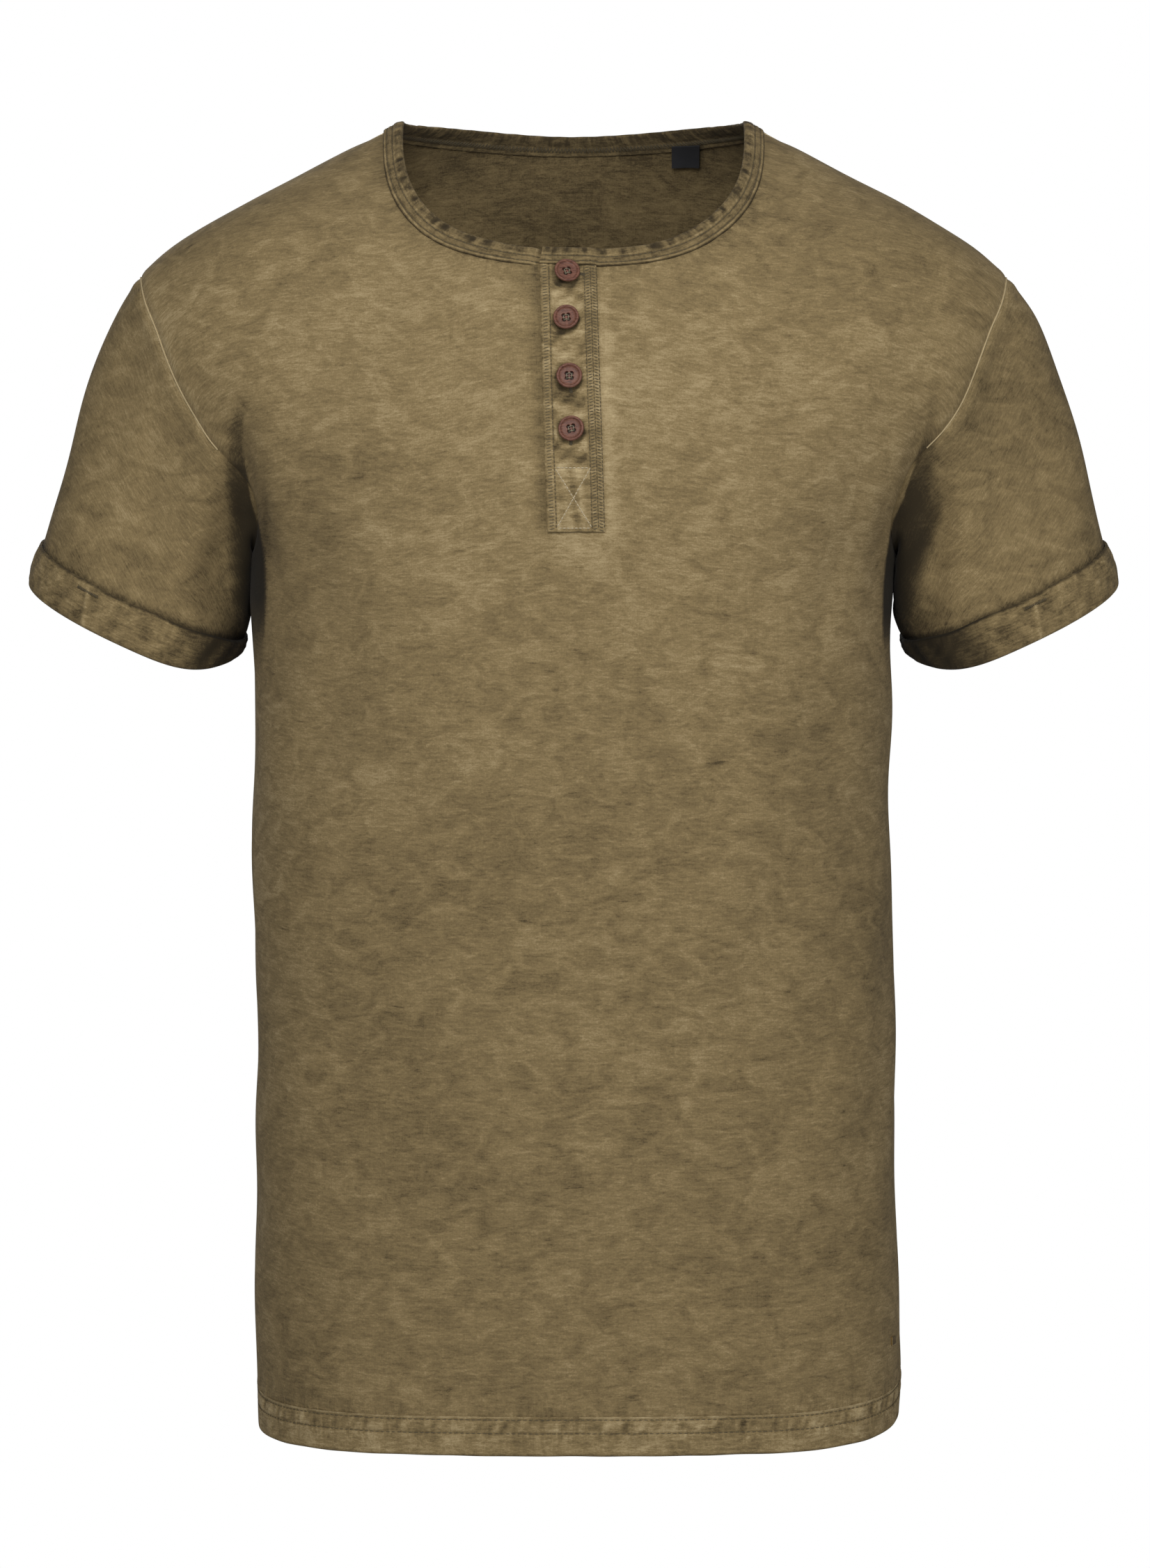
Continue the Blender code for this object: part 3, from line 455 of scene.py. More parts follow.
def ripple(along, spacing, seed):
    """Smooth random waves along a seam, from -1 to 1: a cubic through random heights."""
    rng = np.random.default_rng(seed)
    first = math.floor(along.min() / spacing) - 1
    count = math.ceil(along.max() / spacing) - first + 2
    heights = rng.uniform(-1, 1, count)
    heights[1::2] = np.abs(heights[1::2])
    heights[0::2] = -np.abs(heights[0::2])
    places = (first + np.arange(count) + rng.uniform(-0.25, 0.25, count)) * spacing
    return through(places, heights, along)


def grid_lengths(points):
    """Lengths of cloth across and up a grid, for a pattern that follows the cloth."""
    across = np.linalg.norm(np.diff(points, axis=1), axis=-1)
    upward = np.linalg.norm(np.diff(points, axis=0), axis=-1)
    u = np.concatenate([np.zeros((len(points), 1)), np.cumsum(across, axis=1)], axis=1)
    v = np.concatenate([np.zeros((1, points.shape[1])), np.cumsum(upward, axis=0)], axis=0)
    u = u - u[:, u.shape[1] // 2][:, None]
    return np.stack([u, v], axis=-1)


# ---------------------------------------------------------------- meshes


def add_mesh(name, points, faces, finish, uv=None, marks=None):
    """An object from its points and faces, with its cloth lengths as UV and marks per point."""
    mesh = bpy.data.meshes.new(name)
    mesh.from_pydata(points.tolist(), [], faces.tolist() if hasattr(faces, "tolist") else faces)
    if uv is not None:
        layer = mesh.uv_layers.new(name="cloth")
        layer.data.foreach_set("uv", uv.astype(np.float32).ravel())
    for mark, values in (marks or {}).items():
        if values.ndim == 2:
            made = mesh.attributes.new(mark, "FLOAT_VECTOR", "POINT")
            made.data.foreach_set("vector", values.astype(np.float32).ravel())
        else:
            made = mesh.attributes.new(mark, "FLOAT", "POINT")
            made.data.foreach_set("value", values.astype(np.float32).ravel())
    mesh.shade_smooth()
    mesh.set_sharp_from_angle(angle=math.radians(50))
    mesh.materials.append(finish)
    obj = bpy.data.objects.new(name, mesh)
    bpy.context.scene.collection.objects.link(obj)
    return obj


def shell(name, outer, inner, finish, marks, is_cloth=None, is_tube=False, uv=None):
    """A thin piece of cloth between two grids of points, closed round its edges.

    A tube's grid repeats its first column at its end, and the repeat is welded to the first.
    """
    rows, columns = outer.shape[:2]
    uv = grid_lengths(outer) if uv is None else uv
    keep = np.ones((rows - 1, columns - 1), bool) if is_cloth is None else is_cloth
    count = rows * columns
    index = np.arange(count).reshape(rows, columns)
    if is_tube:
        index[:, -1] = index[:, 0]
    i, j = np.nonzero(keep)
    outside = np.stack([index[i, j], index[i, j + 1], index[i + 1, j + 1], index[i + 1, j]], axis=1)
    tail, head = outside, np.roll(outside, -1, axis=1)
    is_rim = ~np.isin(tail * count + head, head * count + tail)
    a, b = tail[is_rim], head[is_rim]
    rim = np.stack([b, a, a + count, b + count], axis=1)
    faces = np.concatenate([outside, outside[:, ::-1] + count, rim])
    places = np.stack([uv[i, j], uv[i, j + 1], uv[i + 1, j + 1], uv[i + 1, j]], axis=1)
    uv_flat = uv.reshape(-1, 2)
    rim_places = np.stack([uv_flat[b], uv_flat[a], uv_flat[a], uv_flat[b]], axis=1)
    loops = np.concatenate([places, places[:, ::-1], rim_places]).reshape(-1, 2)
    points = np.concatenate([outer.reshape(-1, 3), inner.reshape(-1, 3)])
    used, faces = np.unique(faces, return_inverse=True)
    faces = faces.reshape(-1, 4)
    spread = {mark: np.concatenate([values, values])[used]
              for mark, values in cloth_marks((rows, columns), marks).items()}
    # Inner faces, which the cloth's material darkens as painted shade
    spread["inside"] = (used >= count).astype(float)
    return add_mesh(name, points[used], faces, finish, loops, spread)


def cloth_marks(shape, marks):
    """The marks that cloth's material reads at each point, with those of plain cloth for the rest.

    They are the distance from a seam, how pale it is worn, the painted shade that darkens it,
    and its place beside an edge: see the groups below.
    """
    far = np.ones(shape)
    plain = {
        "seam_away": far,
        "worn": far * 0,
        "painted_shade": far * 0,
        "edge_place": np.stack([far * 0, far, far * 0], axis=-1),
    }
    spread = {}
    for mark, values in dict(plain, **marks).items():
        values = np.broadcast_to(values, shape + np.shape(values)[2:])
        spread[mark] = values.reshape(-1, 3) if values.ndim == 3 else values.ravel()
    return spread


def edge_marks(along, away):
    return np.stack(np.broadcast_arrays(along, away, 0.0), axis=-1)


STITCH_RINGS = 4
STITCH_SIDES = 5


def stitches(name, start, end, up, thick, rise, finish):
    """Thread: each stitch is a bar from start to end, arched up, and thin where it goes in.

    Ring t of it lies at start + (end - start) t + up rise (sin(pi t) - 1/2), with a radius of
    thick times a half-circle's height at t, kept above a third.
    """
    t = np.linspace(0, 1, STITCH_RINGS)[None, :, None, None]
    turn = (np.arange(STITCH_SIDES) * TURN / STITCH_SIDES)[None, None, :, None]
    start, end, up = (v[:, None, None, :] for v in (start, end, up))
    way = unit(end - start)
    across = unit(np.cross(way, up))
    over = np.cross(across, way)
    radius = thick * np.maximum(np.sqrt(np.sin(math.pi * np.clip(t, 0.02, 0.98))), 0.34)
    centre = start + (end - start) * t + up * rise * (np.sin(math.pi * t) - 0.5)
    points = centre + radius * (np.cos(turn) * across + np.sin(turn) * over)
    count = points.shape[0]
    index = np.arange(points.size // 3).reshape(count, STITCH_RINGS, STITCH_SIDES)
    ahead = np.roll(index, -1, axis=2)
    sides = np.stack([index[:, :-1], ahead[:, :-1], ahead[:, 1:], index[:, 1:]], axis=-1)
    faces = sides.reshape(-1, 4)[:, ::-1].tolist()
    faces += index[:, 0].tolist() + index[:, -1, ::-1].tolist()
    return add_mesh(name, points.reshape(-1, 3), faces, finish)


def row_of_stitches(line, normals, pitch, gap_share):
    """Where the stitches of one running row start and end along a polyline."""
    run = lengths_along(line)
    starts = np.arange(pitch / 2, run[-1] - pitch / 2, pitch)
    at = [np.stack([np.interp(s, run, line[:, k]) for k in range(3)], axis=-1)
          for s in (starts, starts + pitch * (1 - gap_share))]
    up = np.stack([np.interp(starts + pitch / 2, run, normals[:, k]) for k in range(3)], axis=-1)
    return at[0], at[1], unit(up)


def cord_along(name, line, normals, radius, sink, finish, sides=8):
    """A thin round ridge along a polyline, its middle sunk below the line by sink."""
    turn = np.arange(sides + 1) * TURN / sides
    way = unit(np.gradient(line, axis=0))
    across = unit(np.cross(way, normals))
    up = np.cross(across, way)
    centre = line - sink * normals
    points = centre[:, None] + radius * (
        np.cos(turn)[None, :, None] * across[:, None] + np.sin(turn)[None, :, None] * up[:, None]
    )
    rows = len(line)
    index = np.arange(rows * (sides + 1)).reshape(rows, sides + 1)
    index[:, -1] = index[:, 0]
    faces = np.stack([index[:-1, :-1], index[:-1, 1:], index[1:, 1:], index[1:, :-1]], axis=-1)
    faces = faces.reshape(-1, 4)[:, ::-1]
    used, faces = np.unique(faces, return_inverse=True)
    faces = faces.reshape(-1, 4).tolist()
    ends = np.searchsorted(used, index[[0, -1], :-1])
    faces += [ends[0].tolist(), ends[1][::-1].tolist()]
    return add_mesh(name, points.reshape(-1, 3)[used], faces, finish)


# ---------------------------------------------------------------- materials


def fill(tree, made, inputs):
    """Puts a number, a colour or another node's socket in each of the node's inputs."""
    for key, value in inputs.items():
        if isinstance(value, bpy.types.NodeSocket):
            tree.links.new(value, made.inputs[key])
        else:
            made.inputs[key].default_value = value
    return made


def node(tree, kind, inputs=(), **settings):
    """A shader node with its inputs and settings."""
    made = tree.nodes.new("ShaderNode" + kind)
    for name, value in settings.items():
        setattr(made, name, value)
    return fill(tree, made, dict(inputs))


def sum_of(tree, operation, *values, clamp=False):
    """The output of a Math node."""
    made = node(tree, "Math", enumerate(values), operation=operation, use_clamp=clamp)
    return made.outputs[0]


def blend(tree, share, first, second):
    """The output of a colour Mix node: first where share is 0, second where it is 1."""
    return node(tree, "Mix", {0: share, 6: first, 7: second}, data_type="RGBA").outputs[2]


def noise(tree, vector, scale, detail=2.0, roughness=0.5, distortion=0.0):
    inputs = {"Vector": vector, "Scale": scale, "Detail": detail, "Roughness": roughness,
              "Distortion": distortion}
    return node(tree, "TexNoise", inputs).outputs[0]


def stretched(tree, vector, scale):
    return node(tree, "Mapping", {"Vector": vector, "Scale": scale}).outputs[0]


def ramp(tree, value, low, high):
    """0 below low, 1 above high, and smooth between them."""
    made = node(tree, "MapRange", {0: value, 1: low, 2: high}, interpolation_type="SMOOTHSTEP")
    return made.outputs[0]


def new_group(name, takes, gives):
    """A node group with named inputs, each with its kind and its value, and named outputs."""
    group = bpy.data.node_groups.new(name, "ShaderNodeTree")
    kinds = {"number": "NodeSocketFloat", "vector": "NodeSocketVector"}
    for socket, (kind, value) in takes.items():
        made = group.interface.new_socket(name=socket, in_out="INPUT", socket_type=kinds[kind])
        if value is not None:
            made.default_value = value
    for socket, kind in gives.items():
        group.interface.new_socket(name=socket, in_out="OUTPUT", socket_type=kinds[kind])
    return group, group.nodes.new("NodeGroupInput").outputs, group.nodes.new("NodeGroupOutput")


def knit_group():
    """Fine jersey: upright wales and courses across them, from lengths of cloth in metres.

    Height is the ribs' waves, uneven from place to place. Shade is the same as a mask, with
    loose streaks across.
    """
    group, have, end = new_group(
        "knit",
        {"Cloth": ("vector", None), "Wale": ("number", 0.00062), "Course": ("number", 0.00050)},
        {"Height": "number", "Shade": "number"},
    )
    split = node(group, "SeparateXYZ", {0: have["Cloth"]}).outputs
    wander = noise(group, have["Cloth"], 320.0, 1.0)
    shift = sum_of(group, "MULTIPLY", wander, 2.6)
    across = sum_of(group, "MULTIPLY", sum_of(group, "DIVIDE", split[0], have["Wale"]), TURN)
    upward = sum_of(group, "MULTIPLY", sum_of(group, "DIVIDE", split[1], have["Course"]), TURN)
    wales = sum_of(group, "SINE", sum_of(group, "ADD", across, shift))
    courses = sum_of(group, "SINE", sum_of(group, "ADD", upward, shift))
    height = sum_of(group, "MULTIPLY_ADD", courses, 0.35, wales)
    grain = noise(group, stretched(group, have["Cloth"], (760.0, 1000.0, 1.0)), 1.0, 3.0, 0.85)
    uneven = sum_of(group, "MULTIPLY_ADD", grain, 7.0, -3.5)
    mixed = sum_of(group, "MULTIPLY_ADD", height, 0.35, uneven)
    fill(group, end, {
        "Height": sum_of(group, "MULTIPLY_ADD", mixed, 0.25, 0.5),
        "Shade": sum_of(group, "MULTIPLY_ADD", mixed, 0.22, 0.5, clamp=True),
    })
    return group


def wash_group():
    """Uneven cold dye: wide clouds, blotches the size of a thumb, short streaks and dark lines.

    Each output is from 0 to 1, and is a noise on places in metres pushed to more contrast. The
    lines are where two drawn-out noises are both low.
    """
    group, have, end = new_group(
        "wash",
        {"Place": ("vector", None), "Cloth": ("vector", None), "Contrast": ("number", 1.0)},
        {"Clouds": "number", "Blotches": "number", "Streaks": "number", "Lines": "number"},
    )

    def pushed(value, gain):
        gain = sum_of(group, "MULTIPLY", have["Contrast"], gain)
        centred = sum_of(group, "SUBTRACT", value, 0.5)
        return sum_of(group, "MULTIPLY_ADD", centred, gain, 0.5, clamp=True)

    clouds = noise(group, have["Place"], 9.0, 3.0, 0.5, 0.4)
    wide = stretched(group, have["Place"], (0.75, 0.75, 1.35))
    blotches = noise(group, wide, 70.0, 5.0, 0.70, 0.9)
    thin = stretched(group, have["Cloth"], (130.0, 700.0, 1.0))
    streaks = noise(group, thin, 1.0, 4.0, 0.75, 0.5)
    long = stretched(group, have["Cloth"], (55.0, 560.0, 1.0))
    lines = sum_of(group, "SUBTRACT", 1.0, ramp(group, noise(group, long, 1.0, 3.0, 0.6, 0.9),
                                                0.24, 0.42))
    patchy = sum_of(group, "SUBTRACT", 1.0, ramp(group, blotches, 0.36, 0.56))
    lines = sum_of(group, "MULTIPLY", lines, patchy)
    fill(group, end, {"Clouds": pushed(clouds, 2.2), "Blotches": pushed(blotches, 2.8),
                      "Streaks": pushed(streaks, 2.8), "Lines": lines})
    return group


def seam_wear_group():
    """Pale wear along a seam: exp(-(distance/width)^2), a thin line and a soft band beside it."""
    group, have, end = new_group(
        "seam wear",
        {"Distance": ("number", 1.0), "Line": ("number", 0.0009), "Band": ("number", 0.0050),
         "Place": ("vector", None)},
        {"Wear": "number"},
    )

    def fading(width):
        ratio = sum_of(group, "DIVIDE", have["Distance"], width)
        square = sum_of(group, "MULTIPLY", ratio, ratio)
        return sum_of(group, "EXPONENT", sum_of(group, "MULTIPLY", square, -1.0))

    patchy = ramp(group, noise(group, have["Place"], 90.0, 3.0, 0.6), 0.25, 0.65)
    line = sum_of(group, "MULTIPLY", fading(have["Line"]), patchy)
    band = sum_of(group, "MULTIPLY", fading(have["Band"]), 0.16)
    fill(group, end, {"Wear": sum_of(group, "ADD", line, band, clamp=True)})
    return group


def pucker_group():
    """Little gathers beside a stitched edge: noise drawn out across the edge, fading with
    distance from it as exp(-distance/reach). Edge is (along, distance) in metres."""
    group, have, end = new_group(
        "puckers",
        {"Edge": ("vector", None), "Spacing": ("number", 0.0032), "Reach": ("number", 0.0065)},
        {"Folds": "number"},
    )
    split = node(group, "SeparateXYZ", {0: have["Edge"]}).outputs
    along = sum_of(group, "DIVIDE", split[0], have["Spacing"])
    across = sum_of(group, "DIVIDE", split[1], sum_of(group, "MULTIPLY", have["Spacing"], 4.5))
    place = node(group, "CombineXYZ", {0: along, 1: across}).outputs[0]
    waves = noise(group, place, 1.0, 2.0, 0.55, 0.35)
    fade = sum_of(group, "EXPONENT", sum_of(
        group, "MULTIPLY", sum_of(group, "DIVIDE", split[1], have["Reach"]), -1.0))
    centred = sum_of(group, "MULTIPLY_ADD", waves, 2.0, -1.0)
    fill(group, end, {"Folds": sum_of(group, "MULTIPLY", centred, fade)})
    return group


GROUPS = {
    "knit": knit_group(),
    "wash": wash_group(),
    "seam wear": seam_wear_group(),
    "puckers": pucker_group(),
}


def place_group(tree, name, **inputs):
    return node(tree, "Group", inputs, node_tree=GROUPS[name]).outputs


def mark(tree, name, output="Fac"):
    return node(tree, "Attribute", attribute_name=name).outputs[output]


def new_material(name):
    made = bpy.data.materials.new(name)
    made.use_nodes = True
    tree = made.node_tree
    return made, tree, tree.nodes["Principled BSDF"]


def bump(tree, strength, height, distance=0.0001, **before):
    """The normal of a Bump node, over another's normal if one is given."""
    inputs = {"Strength": strength, "Distance": distance, "Height": height}
    return node(tree, "Bump", dict(inputs, **before)).outputs[0]


OLIVE = (0.249, 0.182, 0.086, 1)
OLIVE_PALE = (0.500, 0.392, 0.220, 1)
OLIVE_DARK = (0.072, 0.052, 0.026, 1)
# Near-black colour that the strongest painted shade blends to
PAINTED_SHADOW_COLOUR = (0.020, 0.0155, 0.0090, 1)
# How much each thing adds to the cloth's tone, from -1 for the dark colour to 1 for the pale one
CLOUDS_SHARE, CLOUDS_SHIFT = 0.34, -0.19
BLOTCHES_SHARE = 0.62
STREAKS_SHARE = 0.56
YARN_SHARE = 0.95
LINES_SHARE = 0.48
# The inner faces are darkened as painted shade
INSIDE_SHADE_SHARE = 0.46
WEAR_SHARE = 0.85
# How the strongest painted shade blends to near black
PAINTED_SHADOW_SHARE, PAINTED_SHADOW_SHIFT = 1.1, -0.40


def cloth_material(name, ground=OLIVE, contrast=1.0, pucker=0.0, spacing=0.0032, reach=0.0065):
    """Washed jersey: ground colour, darkened and paled by the wash, folds, marks, seams and painted
    shade.
    """
    made, tree, shader = new_material(name)
    place = node(tree, "TexCoord").outputs["Object"]
    cloth = node(tree, "UVMap", uv_map="cloth").outputs[0]
    wash = place_group(tree, "wash", Place=place, Cloth=cloth, Contrast=contrast)
    yarn = place_group(tree, "knit", Cloth=cloth)
    worn = place_group(tree, "seam wear", Distance=mark(tree, "seam_away"), Place=place)
    gathers = place_group(tree, "puckers", Edge=mark(tree, "edge_place", "Vector"),
                          Spacing=spacing, Reach=reach)

    tone = sum_of(tree, "MULTIPLY_ADD", wash["Clouds"], CLOUDS_SHARE, CLOUDS_SHIFT)
    for value, share in ((wash["Blotches"], BLOTCHES_SHARE), (wash["Streaks"], STREAKS_SHARE),
                         (yarn["Shade"], YARN_SHARE)):
        tone = sum_of(tree, "ADD", tone, sum_of(tree, "MULTIPLY_ADD", value, share, -share / 2))
    for operation, value in (
        ("SUBTRACT", sum_of(tree, "MULTIPLY", wash["Lines"], LINES_SHARE)),
        # The gathers' folds: painted shade in their troughs and painted highlight on their crests
        ("ADD", sum_of(tree, "MULTIPLY", gathers["Folds"], pucker)),
        # Painted shade from the marks
        ("SUBTRACT", mark(tree, "painted_shade")),
        # Painted shade on the inner faces
        ("SUBTRACT", sum_of(tree, "MULTIPLY", mark(tree, "inside"), INSIDE_SHADE_SHARE)),
        ("ADD", mark(tree, "worn")),
        ("ADD", sum_of(tree, "MULTIPLY", worn["Wear"], WEAR_SHARE)),
    ):
        tone = sum_of(tree, operation, tone, value)
    darker = sum_of(tree, "MULTIPLY", tone, -1.0, clamp=True)
    paler = sum_of(tree, "MULTIPLY", tone, 1.0, clamp=True)
    colour = blend(tree, darker, ground, OLIVE_DARK)
    colour = blend(tree, paler, colour, OLIVE_PALE)
    # The strongest painted shade goes on towards near black
    painted_shadow = sum_of(tree, "MULTIPLY_ADD", mark(tree, "painted_shade"), PAINTED_SHADOW_SHARE, PAINTED_SHADOW_SHIFT,
                     clamp=True)
    colour = blend(tree, painted_shadow, colour, PAINTED_SHADOW_COLOUR)

    fine = bump(tree, 0.35, yarn["Height"], 0.00022)
    fold = sum_of(tree, "MULTIPLY_ADD", gathers["Folds"], 1.0,
                  sum_of(tree, "MULTIPLY", wash["Blotches"], 0.25))
    fill(tree, shader, {
        "Base Color": colour, "Roughness": 0.93, "Specular IOR Level": 0.12,
        "Sheen Weight": 0.03, "Sheen Roughness": 0.55,
        "Normal": bump(tree, 0.6, fold, 0.0009, Normal=fine),
    })
    return made


def thread_material(name, colour, other):
    """Twisted thread: two tones in fine diagonal bands, with a light bump."""
    made, tree, shader = new_material(name)
    place = node(tree, "TexCoord").outputs["Object"]
    twist = noise(tree, stretched(tree, place, (2600.0, 2600.0, 5200.0)), 1.0, 1.0)
    uneven = noise(tree, place, 160.0, 2.0)
    share = sum_of(tree, "MULTIPLY_ADD", twist, 0.7, sum_of(tree, "MULTIPLY", uneven, 0.5))
    fill(tree, shader, {"Base Color": blend(tree, share, colour, other), "Roughness": 0.75,
                        "Specular IOR Level": 0.25, "Normal": bump(tree, 0.5, twist)})
    return made


def button_material():
    """Reddish brown horn-like plastic: drawn-out streaks, painted highlight on the rim, satin
    gloss.
    """
    made, tree, shader = new_material("button")
    place = node(tree, "TexCoord").outputs["Object"]
    grain = noise(tree, stretched(tree, place, (380.0, 380.0, 1100.0)), 1.0, 4.0, 0.65, 1.2)
    patches = noise(tree, place, 210.0, 3.0, 0.6)
    rim = ramp(tree, mark(tree, "radius"), 0.0050, 0.0062)
    rim = sum_of(tree, "MULTIPLY", rim, mark(tree, "facing"))
    colour = blend(tree, ramp(tree, grain, 0.30, 0.72), (0.078, 0.029, 0.019, 1),
                   (0.215, 0.092, 0.060, 1))
    colour = blend(tree, sum_of(tree, "MULTIPLY", ramp(tree, patches, 0.45, 0.75), 0.45), colour,
                   (0.190, 0.098, 0.062, 1))
    # Painted highlight on the face's rim
    colour = blend(tree, sum_of(tree, "MULTIPLY", rim, 0.70), colour, (0.400, 0.250, 0.175, 1))
    # Painted shade in the holes and in the groove inside the rim
    colour = blend(tree, sum_of(tree, "MULTIPLY", mark(tree, "hollow"), 0.85), colour,
                   (0.020, 0.012, 0.010, 1))
    rough = sum_of(tree, "MULTIPLY_ADD", grain, 0.25, 0.38)
    fill(tree, shader, {"Base Color": colour, "Roughness": rough, "Specular IOR Level": 0.28,
                        "Normal": bump(tree, 0.25, grain)})
    return made


def label_material():
    """Black damask tape: fine crossed ribs, and a softer selvedge."""
    made, tree, shader = new_material("label")
    cloth = node(tree, "UVMap", uv_map="cloth").outputs[0]
    split = node(tree, "SeparateXYZ", {0: cloth}).outputs
    ribs = [sum_of(tree, "SINE", sum_of(tree, "MULTIPLY", split[k], TURN / pitch))
            for k, pitch in ((0, 0.00035), (1, 0.00028))]
    weave = sum_of(tree, "MULTIPLY_ADD", sum_of(tree, "MULTIPLY", *ribs), 0.5, 0.5)
    fluff = noise(tree, cloth, 2600.0, 2.0)
    share = sum_of(tree, "MULTIPLY", sum_of(tree, "ADD", weave, fluff), 0.5)
    colour = blend(tree, share, (0.006, 0.006, 0.008, 1), (0.030, 0.031, 0.036, 1))
    fill(tree, shader, {"Base Color": colour, "Roughness": 0.7, "Normal": bump(tree, 0.6, weave)})
    return made


def brass_material():
    """Dull brass with tarnish in patches and rubbed edges."""
    made, tree, shader = new_material("brass")
    place = node(tree, "TexCoord").outputs["Object"]
    tarnish = noise(tree, place, 520.0, 4.0, 0.6)
    scratches = noise(tree, stretched(tree, place, (900.0, 900.0, 9000.0)), 1.0, 2.0)
    colour = blend(tree, ramp(tree, tarnish, 0.38, 0.68), (0.560, 0.400, 0.170, 1),
                   (0.210, 0.140, 0.060, 1))
    rough = sum_of(tree, "MULTIPLY_ADD", tarnish, 0.35, 0.18)
    fill(tree, shader, {"Base Color": colour, "Roughness": rough, "Metallic": 1.0,
                        "Normal": bump(tree, 0.2, scratches)})
    return made


JERSEY = cloth_material("jersey", pucker=0.55)
HEM_CLOTH_LOOK = cloth_material("hem jersey", contrast=1.25, pucker=0.75, spacing=0.0036)
CUFF_CLOTH_LOOK = cloth_material("cuff jersey", contrast=1.35, pucker=0.6, spacing=0.0045,
                                 reach=0.012)
BAND_LOOK = cloth_material("band jersey", contrast=1.2, pucker=0.95, spacing=0.0028, reach=0.010)
PLACKET_LOOK = cloth_material("placket jersey", contrast=1.45, pucker=0.7, spacing=0.0036,
                              reach=0.006)
SEAM_LOOK = cloth_material("seam edge", ground=(0.43, 0.345, 0.20, 1), contrast=1.2)
THREAD = thread_material("olive thread", (0.200, 0.150, 0.080, 1), (0.330, 0.262, 0.158, 1))
SHADE_THREAD = thread_material("shaded olive thread", (0.062, 0.049, 0.027, 1),
                               (0.130, 0.104, 0.060, 1))
PALE_THREAD = thread_material("pale olive thread", (0.380, 0.310, 0.190, 1),
                              (0.500, 0.420, 0.280, 1))
DARK_THREAD = thread_material("dark olive thread", (0.050, 0.040, 0.024, 1),
                              (0.110, 0.088, 0.052, 1))
BUTTON_THREAD = thread_material("button thread", (0.170, 0.150, 0.098, 1),
                                (0.300, 0.270, 0.190, 1))
BUTTON_LOOK = button_material()
LABEL_LOOK = label_material()
BRASS_LOOK = brass_material()


# ---------------------------------------------------------------- the cut pieces


def face_depth(face, height):
    return section("front" if face == FRONT else "back", height)


def girth(height, face):
    """About a quarter of the way round the body. It scales turns to lengths of cloth."""
    return GIRTH_SHARE * (section("right", height) + face_depth(face, height))


def flat(turn, height, face):
    """Turns and heights as lengths of cloth, in which a panel's grid is laid out."""
    turn, height = np.broadcast_arrays(turn, height)
    return np.stack([turn / QUARTER * girth(height, face), height], axis=-1)


def net(bottom, top, left, right):
    """A grid between four edges that share their corners, evened out like a stretched net.

    It starts as a Coons patch, corrected by the same net on every second line, and then each
    inner place moves to the mean of its neighbours.
    """
    s = np.linspace(0, 1, len(bottom))[None, :, None]
    t = np.linspace(0, 1, len(left))[:, None, None]
    across = (1 - s) * left[:, None] + s * right[:, None]
    upward = (1 - t) * bottom[None] + t * top[None]
    low_corners = (1 - s) * bottom[0] + s * bottom[-1]
    high_corners = (1 - s) * top[0] + s * top[-1]
    grid = across + upward - (1 - t) * low_corners - t * high_corners
    size = min(len(bottom), len(left))
    if size > NET_COARSEST and len(bottom) % 2 and len(left) % 2:
        coarse = net(bottom[::2], top[::2], left[::2], right[::2]) - grid[::2, ::2]
        fine = np.zeros(grid.shape)
        fine[::2, ::2] = coarse
        fine[1::2, ::2] = (coarse[:-1] + coarse[1:]) / 2
        fine[:, 1::2] = (fine[:, :-1:2] + fine[:, 2::2]) / 2
        grid[1:-1, 1:-1] += fine[1:-1, 1:-1]
    for _ in range(NET_ROUNDS):
        beside = grid[1:-1, :-2] + grid[1:-1, 2:]
        grid[1:-1, 1:-1] = (beside + grid[:-2, 1:-1] + grid[2:, 1:-1]) / 4
    return grid


def beside_slit(height, side):
    """The turn of the front's column beside the slit, counted outwards from the middle."""
    return side * turn_at(placket_middle(height) + side * SLIT_HALF_WIDTH, height)


def middle_edge(face, side, top_height):
    """A half panel's inner edge, upwards: beside the slit in front, at the middle behind."""
    if face == BACK:
        height = np.linspace(CENTRE_BREAK, top_height, ARMHOLE_STEPS + 1)
        return np.zeros(height.shape), height
    below = np.linspace(CENTRE_BREAK, SLIT_BOTTOM, SLIT_STEPS_BELOW + 1)
    beside = np.linspace(SLIT_BOTTOM, top_height, ARMHOLE_STEPS - SLIT_STEPS_BELOW + 1)[1:]
    height = np.concatenate([below, beside])
    return beside_slit(height, side), height


def top_edge(face, side):
    """A half panel's top, outwards: the neck seam and then the shoulder seam."""
    first = 0.0
    if face == FRONT:
        slit_edge = side * PLACKET_MIDDLE_TOP + SLIT_HALF_WIDTH
        first = angle_at(slit_edge / section("right", NECK_RIDGE[1]), NECK_SQUARENESS)
    angle = np.linspace(first, QUARTER, NECK_STEPS + 1)
    turn, height = neck(angle if face == FRONT else math.pi - angle, 1.0)
    turn = turn if face == FRONT else math.pi - turn
    turn[-1] = QUARTER
    ridge = np.linspace(height[-1], SHOULDER_TIP, SHOULDER_STEPS + 1)[1:]
    return np.concatenate([turn, np.full(len(ridge), QUARTER)]), np.concatenate([height, ridge])


EDGE_STEPS = np.array((3, 2.3, 1.7, 1.2, 0.8, 0.45, 0.2, 0))


def finer_edge(grid):
    """The same grid with more columns close to its outer edge."""
    last = grid.shape[1] - 1
    places = np.concatenate([np.arange(last - 3), last - EDGE_STEPS])
    i = np.minimum(places.astype(int), last - 1)
    share = places - i
    return grid[:, i] * (1 - share) + grid[:, i + 1] * share


HEM_TUCK = 0.0030


